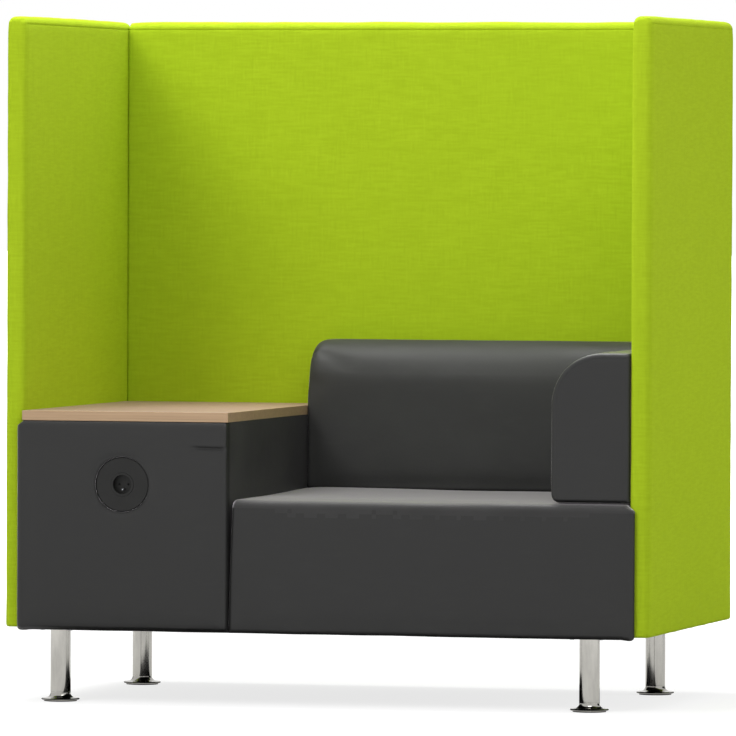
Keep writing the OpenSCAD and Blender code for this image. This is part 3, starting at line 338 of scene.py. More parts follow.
def leatherette(name, tone, shine, sheen_roughness, sheen=1.0):
    """Fine-grained coated fabric, charcoal, with faint pull marks and clouding."""
    made, tree, shader = new_shader(name)

    def grey(value):
        return srgb(value + tone, value + tone, value + tone - 0.6)

    place = node(tree, "ShaderNodeTexCoord").outputs["Object"]
    cells = node(tree, "ShaderNodeTexVoronoi", {"Vector": place, "Scale": 620, "Randomness": 0.9},
                 feature="SMOOTH_F1")
    grain = cells.outputs["Distance"]
    pores = stretched_noise(tree, (900, 900, 900), 2, 0.6)
    clouds = stretched_noise(tree, (7, 7, 9), 4, 0.55)
    pulls = stretched_noise(tree, (14, 14, 60), 3, 0.5)
    body = blend_colours(tree, ramp(tree, clouds, 0.32, 0.68), grey(32), grey(39))
    body = blend_colours(tree, ramp(tree, grain, 0.1, 0.7, 0, 0.4), body, grey(27))
    body = blend_colours(tree, ramp(tree, pulls, 0.55, 0.8, 0, 0.25), body, grey(44))
    pits = maths(tree, "MULTIPLY", grain, -1)
    height = maths(tree, "ADD", pits, maths(tree, "MULTIPLY", pores, 0.5))
    return finish_shader(
        made, tree, shader, body, ramp(tree, clouds, 0.3, 0.7, 0.46, 0.58), height, 0.12, 0.5,
        specular_ior_level=shine, sheen_weight=sheen, sheen_roughness=sheen_roughness,
        sheen_tint=srgb(250, 244, 250))


def laminate(name, light, dark, along, across, rough):
    """Pale wood decor with its grain along X; along and across are its scales."""
    made, tree, shader = new_shader(name)
    grain = stretched_noise(tree, (along, across, across), 5, 0.62)
    pores = stretched_noise(tree, (along * 4, across * 7, across * 7), 3, 0.6)
    waves = stretched_noise(tree, (along / 2, across / 6, across / 6), 3, 0.5)
    body = blend_colours(tree, ramp(tree, grain, 0.3, 0.72), light, dark)
    body = blend_colours(tree, ramp(tree, waves, 0.35, 0.7, 0, 0.5), body, light)
    deep = tuple(c * 0.72 for c in dark[:3]) + (1,)
    body = blend_colours(tree, ramp(tree, pores, 0.58, 0.75, 0, 0.5), body, deep)
    height = maths(tree, "SUBTRACT", maths(tree, "MULTIPLY", grain, 0.4), ramp(tree, pores, 0.58, 0.75))
    roughness = ramp(tree, pores, 0.3, 0.8, rough, rough + 0.14)
    return finish_shader(made, tree, shader, body, roughness, height, 0.04, 0.5)


def chrome():
    """Polished chrome with a faint haze and long fine scratches."""
    made, tree, shader = new_shader("chrome")
    haze = stretched_noise(tree, (60, 60, 14), 4, 0.6)
    scratches = stretched_noise(tree, (1400, 1400, 40), 2, 0.6)
    body = blend_colours(tree, ramp(tree, haze, 0.3, 0.7), srgb(158, 156, 151), srgb(174, 172, 166))
    roughness = ramp(tree, haze, 0.3, 0.7, 0.06, 0.13)
    return finish_shader(made, tree, shader, body, roughness, scratches, 0.01, 0.12, metallic=1.0)


def plated(name, light, dark, rough):
    """Mottled metal: zinc-plated steel or bare brass."""
    made, tree, shader = new_shader(name)
    mottle = stretched_noise(tree, (70, 70, 70), 4, 0.6)
    body = blend_colours(tree, ramp(tree, mottle, 0.3, 0.7), light, dark)
    roughness = ramp(tree, mottle, 0.3, 0.7, rough, rough + 0.15)
    return finish_shader(made, tree, shader, body, roughness, mottle, 0.05, 0.3, metallic=1.0)


def moulded(name, light, dark, rough, texture=900):
    """Moulded plastic with a fine spark-eroded texture."""
    made, tree, shader = new_shader(name)
    fine = stretched_noise(tree, (texture, texture, texture), 2, 0.6)
    broad = stretched_noise(tree, (25, 25, 25), 3, 0.5)
    body = blend_colours(tree, ramp(tree, broad, 0.3, 0.7), light, dark)
    roughness = ramp(tree, fine, 0.3, 0.7, rough, rough + 0.1)
    return finish_shader(
        made, tree, shader, body, roughness, fine, 0.05, 0.35, specular_ior_level=0.25)


def foam():
    """Open-cell upholstery foam."""
    made, tree, shader = new_shader("foam")
    cells = stretched_noise(tree, (500, 500, 500), 3, 0.7)
    body = blend_colours(tree, ramp(tree, cells, 0.3, 0.7), srgb(226, 216, 176), srgb(240, 233, 204))
    return finish_shader(made, tree, shader, body, 0.95, cells, 0.5, 0.6)


def webbing():
    """Woven elastic strap."""
    made, tree, shader = new_shader("webbing")
    height = thread_height(tree, 2.5 * MM)
    body = blend_colours(tree, height, srgb(22, 22, 23), srgb(48, 48, 50))
    return finish_shader(made, tree, shader, body, 0.8, height, 0.4, 0.8)


# By the record's slots, and two lighter copies of the leatherette that are painted light: a sheenier one
# for the seat's top and one for the backrest
MATERIALS = {
    "lime_fabric": lime_weave(),
    "leatherette": leatherette("leatherette", -5, 0.4, 0.16),
    "seat_top_lit_leatherette": leatherette("seat_top_lit_leatherette", 20, 0.08, 0.44),
    "backrest_lit_leatherette": leatherette("backrest_lit_leatherette", 23, 0.2, 0.14, 0.65),
    "bare_board": laminate("bare_board", srgb(214, 188, 148), srgb(186, 152, 108), 3, 120, 0.6),
    "stained_board": laminate("stained_board", srgb(30, 29, 28), srgb(20, 19, 18), 3, 120, 0.55),
    "table_laminate": laminate(
        "table_laminate", srgb(162, 129, 118), srgb(140, 107, 95), 2.2, 150, 0.36),
    "table_edging": laminate(
        "table_edging", srgb(188, 158, 126), srgb(160, 131, 101), 2.2, 260, 0.42),
    "chrome": chrome(),
    "steel": plated("steel", srgb(168, 170, 174), srgb(130, 132, 136), 0.3),
    "brass": plated("brass", srgb(206, 176, 104), srgb(170, 140, 76), 0.25),
    "socket_plastic": moulded("socket_plastic", srgb(27, 27, 26), srgb(33, 33, 32), 0.42),
    "foam": foam(),
    "webbing": webbing(),
    "lead_sheath": moulded("lead_sheath", srgb(60, 60, 62), srgb(74, 74, 76), 0.5, 300),
    "glide_plastic": moulded("glide_plastic", srgb(28, 28, 28), srgb(38, 38, 38), 0.5, 600),
}


# Mesh work: boxes of even quads, rounded, swelled and seamed in numpy

def places(low, high, low_r, high_r, step, stops=()):
    """Places of a box's lines along one axis: even turns in its rounded edges, even steps between."""
    marks = {low, high, *stops}
    for start, radius, way in ((low, low_r, 1), (high, high_r, -1)):
        turns = max(LEAST_TURNS, math.ceil(radius * math.pi / 4 / step)) if radius else 0
        marks.update(start + way * radius * (1 - math.tan(math.pi / 4 * i / turns)) for i in range(turns))
    kept = []
    for mark in sorted(m for m in marks if low <= m <= high):
        if kept and mark - kept[-1] < LEAST_GAP:
            if mark == high:
                kept[-1] = mark
            continue
        kept.append(mark)
    line = [kept[0]]
    for a, b in zip(kept, kept[1:]):
        count = max(1, math.ceil((b - a) / step - STEP_SLACK))
        line += [a + (b - a) * i / count for i in range(1, count + 1)]
    return np.array(line)


def lattice(lines):
    """Points and quads of a closed box whose lines lie at the given places along each axis."""
    size = [len(line) for line in lines]
    quads = []
    for axis in (X, Y, Z):
        u, v = (axis + 1) % 3, (axis + 2) % 3
        iu, iv = np.meshgrid(np.arange(size[u] - 1), np.arange(size[v] - 1), indexing="ij")
        for end in (0, size[axis] - 1):
            corners = []
            for du, dv in ((0, 0), (1, 0), (1, 1), (0, 1)):
                index = [None, None, None]
                index[axis] = np.full(iu.shape, end)
                index[u] = iu + du
                index[v] = iv + dv
                corners.append(((index[X] * size[Y] + index[Y]) * size[Z] + index[Z]).ravel())
            quad = np.stack(corners, 1)
            quads.append(quad if end else quad[:, ::-1])
    keys, joined = np.unique(np.concatenate(quads), return_inverse=True)
    x_line = lines[X][keys // (size[Y] * size[Z])]
    y_line = lines[Y][keys // size[Z] % size[Y]]
    z_line = lines[Z][keys % size[Z]]
    return np.stack([x_line, y_line, z_line], 1), joined.reshape(-1, 4)


def rounded(points, low, high, edges):
    """Rounds edges of a box. Each edge is two faces, as (axis, side), and a radius."""
    points = points.copy()
    for (a, side_a), (b, side_b), radius in edges:
        r = np.broadcast_to(np.asarray(radius, float), len(points))
        centre_a = (high if side_a > 0 else low)[a] - side_a * r
        centre_b = (high if side_b > 0 else low)[b] - side_b * r
        out_a = side_a * (points[:, a] - centre_a)
        out_b = side_b * (points[:, b] - centre_b)
        near = (out_a > TINY) & (out_b > TINY)
        shrink = np.ones(len(points))
        shrink[near] = np.maximum(out_a, out_b)[near] / np.hypot(out_a, out_b)[near]
        points[near, a] = (centre_a + side_a * out_a * shrink)[near]
        points[near, b] = (centre_b + side_b * out_b * shrink)[near]
    return points


def normals_of(points, quads):
    """Outward normal at each point."""
    a, b, c, d = (points[quads[:, k]] for k in range(4))
    across = np.cross(c - a, d - b)
    total = np.zeros_like(points)
    for k in range(4):
        np.add.at(total, quads[:, k], across)
    return total / np.maximum(np.linalg.norm(total, axis=1, keepdims=True), LEAST_NORMAL)


def at(points, axis, place):
    """Which points lie on the plane across an axis at a place."""
    return np.abs(points[:, axis] - place) < ON_FACE


def smooth_step(start, end, value):
    """0 before start, 1 past end, and smooth between; start may be the larger."""
    t = np.clip((value - start) / (end - start), 0, 1)
    return t * t * (3 - 2 * t)


def bell(distance, width):
    """1 at no distance, falling smoothly to 1/e at the width."""
    return np.exp(-(distance / width) ** 2)


def hump(low, high, value):
    """1 midway between low and high, 0 at both and outside."""
    t = np.clip((value - low) / (high - low), 0, 1)
    return 4 * t * (1 - t)


def quarter_round(distance, width):
    """A quarter round from 0 at an edge to 1 at the given width from it."""
    t = np.clip(distance / width, 0, 1)
    return np.sqrt(np.clip(1 - (1 - t) ** 2, 0, 1))


def ripple(points, scale, seed):
    """Smooth noise from -1 to 1 at each point, with bumps about 1/scale wide."""
    shift = Vector([seed * step for step in SEED_STEPS])
    return np.array([noise.noise(Vector(p) * scale + shift) for p in points])


def unevenness(points, waves):
    """Sum of ripples, each with its bumps per metre, its seed and its height."""
    return sum(ripple(points, scale, seed) * height for scale, seed, height in waves)


def piece(name, points, quads, slot, look=None, body="root"):
    """A smooth-shaded mesh object that rides on a body, with a slot's material."""
    mesh = bpy.data.meshes.new(name)
    mesh.from_pydata(points.tolist(), [], [list(q) for q in quads])
    mesh.validate()
    mesh.polygons.foreach_set("use_smooth", [True] * len(mesh.polygons))
    mesh.materials.append(MATERIALS[look or slot])
    made = bpy.data.objects.new(name, mesh)
    bpy.context.scene.collection.objects.link(made)
    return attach(made, body)


def inflated(points, quads, held):
    """How far each point of a padded shape moves when it is blown up as cloth, held where told."""
    mesh = bpy.data.meshes.new("inflated")
    mesh.from_pydata(points.tolist(), [], quads.tolist())
    body = bpy.data.objects.new("inflated", mesh)
    bpy.context.scene.collection.objects.link(body)
    group = body.vertex_groups.new(name="held")
    weights = np.round(held, 2)
    for weight in np.unique(weights):
        if weight > 0:
            group.add(np.nonzero(weights == weight)[0].tolist(), float(weight), "REPLACE")
    cloth = body.modifiers.new("cloth", "CLOTH")
    settings = cloth.settings
    settings.quality = CLOTH_QUALITY
    settings.mass = CLOTH_MASS
    settings.tension_stiffness = CLOTH_TENSION
    settings.compression_stiffness = CLOTH_TENSION
    settings.shear_stiffness = CLOTH_SHEAR
    settings.bending_stiffness = CLOTH_BENDING
    settings.use_pressure = True
    settings.uniform_pressure_force = SIM_PRESSURE
    settings.effector_weights.gravity = 0
    settings.vertex_group_mass = "held"
    cloth.collision_settings.use_collision = False
    cloth.point_cache.frame_end = SIM_FRAMES
    for step in range(1, SIM_FRAMES + 1):
        bpy.context.scene.frame_set(step)
    shown = body.evaluated_get(bpy.context.evaluated_depsgraph_get())
    moved = np.array([v.co for v in shown.data.vertices]) - points
    bpy.data.objects.remove(body)
    bpy.context.scene.frame_set(1)
    return moved


def carried(moved, coarse, fine, reach):
    """A coarse lattice's movement, read at the points of a finer one."""
    tree = kdtree.KDTree(len(coarse))
    for k, p in enumerate(coarse):
        tree.insert(p, k)
    tree.balance()
    out = np.zeros_like(fine)
    for k, p in enumerate(fine):
        near = tree.find_n(p, SIM_NEIGHBOURS)
        weights = np.array([math.exp(-(d / reach) ** 2) + LEAST for _, _, d in near])
        out[k] = weights @ moved[[index for _, index, _ in near]] / weights.sum()
    return out


def swelled(low, high, edges, held, most, flat, points):
    """Points of a padded box after its cloth simulation, each moved no further than most says."""
    lines = [places(low[k], high[k], SIM_R, SIM_R, SIM_STEP) for k in (X, Y, Z)]
    coarse_flat, coarse_quads = lattice(lines)
    coarse = rounded(coarse_flat, low, high, edges(coarse_flat))
    moved = inflated(coarse, coarse_quads, held(coarse_flat))
    moved = carried(moved, coarse_flat, flat, SIM_STEP)
    length = np.linalg.norm(moved, axis=1, keepdims=True)
    limit = most(flat)[:, None]
    outward = moved / np.maximum(length, TINY)
    return points + outward * limit * np.tanh(length / np.maximum(limit, LEAST))


# Padded panels

def panel(name, node_name, thin_axis):
    """Padded acoustic panel: rounded edges, seams along the border strip, hand-wrapped lumps."""
    low, high = (np.array(c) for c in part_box(node_name))
    low[Z] -= PANEL_UNDERLAP
    wide = Y if thin_axis == X else X
    end_r = PANEL_R if thin_axis == X else PANEL_BACK_R
    strip = PANEL_R + SEAM_INSET
    side_seams = [low[wide] + strip, high[wide] - strip] if thin_axis == X else []
    side_stops = [place + d for place in side_seams for d in SEAM_STOPS]
    top_seam = high[Z] - PANEL_TOP_R - SEAM_INSET
    top_stops = [top_seam + d for d in SEAM_STOPS]
    lines = [None, None, None]
    lines[thin_axis] = places(low[thin_axis], high[thin_axis], end_r, end_r, PANEL_STEP)
    lines[wide] = places(low[wide], high[wide], end_r, end_r, PANEL_STEP, side_stops)
    lines[Z] = places(low[Z], high[Z], PANEL_FOOT_R, PANEL_TOP_R, PANEL_STEP, top_stops)
    flat, quads = lattice(lines)
    edges = [((wide, s), (thin_axis, t), end_r) for s in (LOW, HIGH) for t in (LOW, HIGH)]
    edges += [((a, s), (Z, LOW), PANEL_FOOT_R) for a in (wide, thin_axis) for s in (LOW, HIGH)]
    edges += [((a, s), (Z, HIGH), PANEL_TOP_R if a == thin_axis else end_r)
              for a in (wide, thin_axis) for s in (LOW, HIGH)]
    points = rounded(flat, low, high, edges)
    normals = normals_of(points, quads)

    groove = np.zeros(len(flat))
    for place in side_seams:
        groove += bell(flat[:, wide] - place, SEAM_WIDTH) * (flat[:, Z] < top_seam + MM)
    inner = np.ones(len(flat), bool)
    if side_seams:
        inner = (flat[:, wide] > side_seams[0]) & (flat[:, wide] < side_seams[1])
    groove += bell(flat[:, Z] - top_seam, SEAM_WIDTH) * inner
    on_face = at(flat, thin_axis, low[thin_axis]) | at(flat, thin_axis, high[thin_axis])
    border = bell(flat[:, wide] - low[wide], BORDER_REACH) + bell(flat[:, Z] - high[Z], BORDER_REACH)
    border += bell(flat[:, Z] - low[Z], FOOT_BORDER_REACH)
    border += bell(flat[:, wide] - high[wide], BORDER_REACH)
    move = -SEAM_DEPTH * groove * on_face
    move += unevenness(flat, PANEL_WAVES)
    move += unevenness(flat, BORDER_WAVES) * np.clip(border, 0, 1)
    move += unevenness(flat, PANEL_TOP_WAVES) * bell(flat[:, Z] - high[Z], TOP_WAVE_REACH)
    for side in (low, high):
        reach = np.hypot(flat[:, wide] - side[wide], flat[:, Z] - high[Z])
        move -= CORNER_PULL * bell(reach, CORNER_REACH)
    points = points + normals * move[:, None]
    made = piece(name, points, quads, "lime_fabric")
    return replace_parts(made, node_name)


# Upholstered boxes under the table and the seat

def box_lip(flat, points, low, high, side):
    """The front pad bulges over the front edge of the side panel beside it."""
    front = low[Y] + FRONT_PAD - LIP_START
    depth = hump(low[Y] - LIP_LEAD, front, flat[:, Y]) ** 0.5 * (flat[:, Y] < front)
    edge = low[X] if side < 0 else high[X]
    near = smooth_step(LIP_FADE, 0, np.abs(flat[:, X] - edge))
    tall = smooth_step(high[Z], high[Z] - LIP_TOP, flat[:, Z])
    out = points.copy()
    out[:, X] += side * LIP_REACH * depth * near * tall
    return out


def raised_bottom(flat, points, low, high, side):
    """Lifts the bottom behind the front pad into the base board, so that only the hem shows."""
    out = points.copy()
    behind = smooth_step(low[Y] + FRONT_PAD - HEM_START, low[Y] + FRONT_PAD, flat[:, Y])
    out[:, Z] += HEM_RISE * behind * at(flat, Z, low[Z])
    front = (1 - behind) * smooth_step(HEM_FADE, 0, flat[:, Z] - low[Z])
    out[:, Z] += unevenness(flat * (1, 0, 0), HEM_WAVES) * front
    edge = (low[X] if side < 0 else high[X]) + side * LIP_REACH
    ear = hump(0, 2 * EAR_WIDTH, np.abs(points[:, X] - edge))
    out[:, Z] -= (HEM_DROP + EAR_DROP * ear) * front
    return out


def crease(flat, level):
    """Depth of the crease in the pedestal's front, less the height of the roll above it."""
    along = smooth_step(CREASE_LEFT, CREASE_LEFT_FULL, flat[:, X])
    along *= smooth_step(CREASE_RIGHT, CREASE_RIGHT_FULL, flat[:, X])
    line = flat[:, Z] - level + (flat[:, X] - CREASE_LEVEL_X) * CREASE_SLOPE
    fold = CREASE_DEPTH * bell(line, CREASE_WIDTH)
    return along * (fold - ROLL_HEIGHT * bell(line - ROLL_ABOVE, ROLL_WIDTH))


def round_hole(points, flat, front, centre):
    """Bends the square lines round the socket into rings, and gives its rim's points in order."""
    dx, dz = flat[:, X] - centre[X], flat[:, Z] - centre[Z]
    square = np.maximum(np.abs(dx), np.abs(dz))
    patch = front & (square < HOLE_PATCH - ON_FACE) & (square >= HOLE_INNER - ON_FACE)
    t = (square - HOLE_INNER) / (HOLE_PATCH - HOLE_INNER)
    far = np.maximum(np.hypot(dx, dz), TINY)
    ring = HOLE_R + (square - HOLE_INNER) * (1 - t) + (HOLE_PATCH - HOLE_R) * t * t
    for axis, d in ((X, dx), (Z, dz)):
        mapped = centre[axis] + (1 - t) * d / far * ring + t * d
        points[patch, axis] = mapped[patch]
    rim = np.nonzero(front & (np.abs(square - HOLE_INNER) < ON_FACE))[0]
    return rim[np.argsort(np.arctan2(dz[rim], dx[rim]))]


def opened(points, quads, flat, front_y, rim, centre):
    """Cuts the socket's hole in the front and rolls its rim inwards."""
    middle = flat[quads].mean(1)
    in_hole = at(middle, Y, front_y) & (np.abs(middle[:, X] - centre[X]) < HOLE_INNER)
    in_hole &= np.abs(middle[:, Z] - centre[Z]) < HOLE_INNER
    rolls = []
    for depth, widen in HOLE_ROLLS:
        around = points[rim].copy()
        outward = (around - centre) * (1, 0, 1)
        outward /= np.linalg.norm(outward, axis=1, keepdims=True)
        around += outward * widen
        around[:, Y] += depth
        rolls.append(around)
    start, count = len(points), len(rim)
    rings = [rim] + [start + k * count + np.arange(count) for k in range(len(rolls))]
    walls = [np.stack([a, b, np.roll(b, -1), np.roll(a, -1)], 1) for a, b in zip(rings, rings[1:])]
    return np.concatenate([points, *rolls]), np.concatenate([quads[~in_hole], *walls])


def pedestal():
    """Box under the table, with the socket's hole and a crease in its front."""
    low, high = (np.array(c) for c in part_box("pedestal_cover"))
    bezel_low, bezel_high = (np.array(c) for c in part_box("socket_bezel"))
    low[Y] += FRONT_CROWN
    centre = (bezel_low + bezel_high) / 2
    crease_z = high[Z] - CREASE_DROP

    def edges(_):
        return [((Y, LOW), (Z, HIGH), TABLE_JOIN_R), ((X, HIGH), (Y, LOW), SIDE_R),
                ((X, LOW), (Y, LOW), BOX_R), ((X, LOW), (Z, LOW), CORNER_R),
                ((Y, LOW), (Z, LOW), HEM_R)]

    stops_x = [centre[X] + d for d in HOLE_STOPS]
    stops_z = [centre[Z] + d for d in HOLE_STOPS]
    stops_z += [crease_z + d for d in CREASE_STOPS]
    stops_z += [high[Z] - d for d in BULGE_STOPS]
    hem_stops = [low[Y] + FRONT_PAD - HEM_START, low[Y] + FRONT_PAD]
    lines = [places(low[X], high[X], BOX_R, SIDE_R, PAD_STEP, stops_x),
             places(low[Y], high[Y], BOX_R, 0, DEEP_STEP, hem_stops),
             places(low[Z], high[Z], BOX_R, TABLE_JOIN_R, PAD_STEP, stops_z)]
    flat, quads = lattice(lines)
    points = rounded(flat, low, high, edges(flat))

    def held(spots):
        free = at(spots, Y, low[Y])
        free &= (spots[:, X] > low[X] + ON_FACE) & (spots[:, X] < high[X] - ON_FACE)
        free &= (spots[:, Z] > low[Z] + ON_FACE) & (spots[:, Z] < high[Z] - ON_FACE)
        return np.where(free, 0.0, 1.0)

    def most(spots):
        return FRONT_CROWN * np.where(np.abs(spots[:, Y] - low[Y]) < FRONT_BAND, 1.0, BEHIND_SHARE)

    points = swelled(low, high, edges, held, most, flat, points)
    points = box_lip(flat, points, low, high, LOW)
    points = raised_bottom(flat, points, low, high, LOW)

    front = at(flat, Y, low[Y])
    rim = round_hole(points, flat, front, centre)
    out = np.hypot(points[:, X] - centre[X], points[:, Z] - centre[Z]) - HOLE_R
    dip = HOLE_DIP * np.exp(-np.clip(out, 0, 1) / HOLE_DIP_REACH)
    points[:, Y] += dip * front
    points[:, Y] += front * crease(flat, crease_z)
    bulge = quarter_round(high[Z] - flat[:, Z], BULGE_TOP) * quarter_round(flat[:, Z] - low[Z], BULGE_FOOT)
    points[:, Y] -= front * FRONT_BULGE * bulge
    points[:, Y] += front * unevenness(flat, PEDESTAL_WAVES)
    points, quads = opened(points, quads, flat, low[Y], rim, centre)
    made = piece("pedestal_upholstery", points, quads, "leatherette")
    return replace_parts(made, "pedestal_cover")


def seat():
    """Seat box with a crowned top; its top and front rounding wear a lighter, sheenier copy of the
    leatherette than its sides: painted light.
    """
    low, high = (np.array(c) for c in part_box("seat_cover"))
    back_low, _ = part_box("backrest_cover")
    arm_low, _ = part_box("armrest_cover")
    low[Y] += FRONT_CROWN
    high[Z] -= SEAT_CROWN

    def edges(_):
        return [((X, LOW), (Z, HIGH), SIDE_R), ((X, HIGH), (Z, HIGH), BOX_R),
                ((X, LOW), (Y, LOW), SIDE_R), ((X, HIGH), (Y, LOW), BOX_R),
                ((X, HIGH), (Z, LOW), CORNER_R), ((Y, LOW), (Z, LOW), HEM_R),
                ((Y, LOW), (Z, HIGH), SEAT_FRONT_R)]

    hem_stops = [low[Y] + FRONT_PAD - HEM_START, low[Y] + FRONT_PAD]
    lines = [places(low[X], high[X], SIDE_R, BOX_R, PAD_STEP),
             places(low[Y], high[Y], SEAT_FRONT_R, 0, PAD_STEP, hem_stops),
             places(low[Z], high[Z], BOX_R, SEAT_FRONT_R, PAD_STEP)]
    flat, quads = lattice(lines)
    points = rounded(flat, low, high, edges(flat))

    def open_top(spots):
        return smooth_step(arm_low[X] + UNDER_ARM, arm_low[X] - SWELL_FADE, spots[:, X]) \
            * smooth_step(back_low[Y] + UNDER_BACK, back_low[Y] - SWELL_FADE, spots[:, Y])

    def held(spots):
        top = at(spots, Z, high[Z]) & (open_top(spots) > SEAT_FREE)
        free = (top | at(spots, Y, low[Y])) & (spots[:, Z] > low[Z] + ON_FACE)
        free &= (spots[:, X] > low[X] + ON_FACE) & (spots[:, X] < high[X] - ON_FACE)
        ridge = (spots[:, Z] > high[Z] - SEAT_RIDGE) & (spots[:, Y] < low[Y] + SEAT_RIDGE)
        return np.where(free, np.where(ridge, RIDGE_HOLD, 0.0), 1.0)

    def most(spots):
        top = smooth_step(high[Z] - SWELL_FADE, high[Z], spots[:, Z]) * open_top(spots)
        front = smooth_step(low[Y] + SWELL_FADE, low[Y], spots[:, Y])
        return np.maximum(SEAT_CROWN * top, FRONT_CROWN * front) + LEAST_SWELL

    points = swelled(low, high, edges, held, most, flat, points)
    points = box_lip(flat, points, low, high, HIGH)
    points = raised_bottom(flat, points, low, high, HIGH)
    points[:, Y] += at(flat, Y, low[Y]) * unevenness(flat, SEAT_FRONT_WAVES)
    top = at(flat, Z, high[Z]) * open_top(flat)
    left_rear = smooth_step(low[X] + SEAT_LIFT_X, low[X], flat[:, X]) \
        * smooth_step(low[Y] + SEAT_LIFT_Y, back_low[Y], flat[:, Y])
    points[:, Z] += top * (unevenness(flat, SEAT_TOP_WAVES) + SEAT_LIFT * left_rear)
    tall = (np.clip(flat[:, Z] - low[Z], 0, None) / (high[Z] - low[Z])) ** SEAT_PULL_POWER
    corner = smooth_step(low[X] + SEAT_PULL_X, low[X], flat[:, X]) \
        * smooth_step(low[Y] + SEAT_PULL_Y, low[Y], flat[:, Y])
    points[:, X] += SEAT_PULL * tall * corner
    # Painted light: the faces that look up wear the lighter, sheenier copy of the leatherette, the others
    # the plain one
    made = piece("seat_upholstery", points, quads, "leatherette", look="seat_top_lit_leatherette")
    made.data.materials.append(MATERIALS["leatherette"])
    for face in made.data.polygons:
        if face.normal.z < SEAT_LIT_TOP:
            face.material_index = 1
    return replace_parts(made, "seat_cover")


# Cushions on the seat

def backrest():
    """Low thick backrest whose left end grows rounder towards its top."""
    low, high = (np.array(c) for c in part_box("backrest_cover"))
    arm_low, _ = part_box("armrest_cover")
    low[Y] += BACKREST_CROWN

    def edges(spots):
        rise = smooth_step(high[Z] - BACKREST_RISE, high[Z] - BACKREST_RISE_FULL, spots[:, Z])
        side_r = BACKREST_SIDE_R + (BACKREST_END_R - BACKREST_SIDE_R) * rise
        return [((X, LOW), (Z, HIGH), BACKREST_END_R), ((X, LOW), (Y, LOW), side_r),
                ((X, LOW), (Z, LOW), BACKREST_FOOT_R), ((Y, HIGH), (Z, HIGH), BOX_R),
                ((Y, LOW), (Z, LOW), BOX_R), ((Y, LOW), (Z, HIGH), BACKREST_R)]

    lines = [places(low[X], high[X], BACKREST_END_R, 0, PAD_STEP),
             places(low[Y], high[Y], BACKREST_R, BOX_R, PAD_STEP),
             places(low[Z], high[Z], BOX_R, BACKREST_R, PAD_STEP)]
    flat, quads = lattice(lines)
    points = rounded(flat, low, high, edges(flat))

    def open_front(spots):
        return smooth_step(arm_low[X] + UNDER_ARM, arm_low[X] - BACKREST_FADE, spots[:, X])

    def held(spots):
        free = (at(spots, Y, low[Y]) | at(spots, Z, high[Z])) & (open_front(spots) > BACKREST_FREE)
        free &= (spots[:, Z] > low[Z] + ON_FACE) & (spots[:, X] > low[X] + ON_FACE)
        free &= spots[:, Y] < high[Y] - ON_FACE
        return np.where(free, 0.0, 1.0)

    def most(spots):
        front = smooth_step(high[Y] - BACKREST_REAR, low[Y], spots[:, Y]) * open_front(spots)
        above = smooth_step(low[Z], low[Z] + FOOT_FADE, spots[:, Z])
        return BACKREST_CROWN * front * above + LEAST_SWELL

    plain_swell = hump(low[X], arm_low[X], flat[:, X]) * hump(low[Z], high[Z], flat[:, Z])
    plain_swell *= BACKREST_CROWN * at(flat, Y, low[Y])
    points = swelled(low, high, edges, held, most, flat, points)
    shown = open_front(flat) * smooth_step(high[Y] + MM, high[Y] - SWELL_FADE, flat[:, Y])
    waves = unevenness(flat, BACKREST_WAVES)
    points = points + normals_of(points, quads) * (waves * shown)[:, None]
    # Painted light: the backrest wears a lighter copy of the leatherette, brightening it where the niche
    # shades it
    made = piece("backrest_upholstery", points, quads, "leatherette", look="backrest_lit_leatherette")
    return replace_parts(made, "backrest_cover")


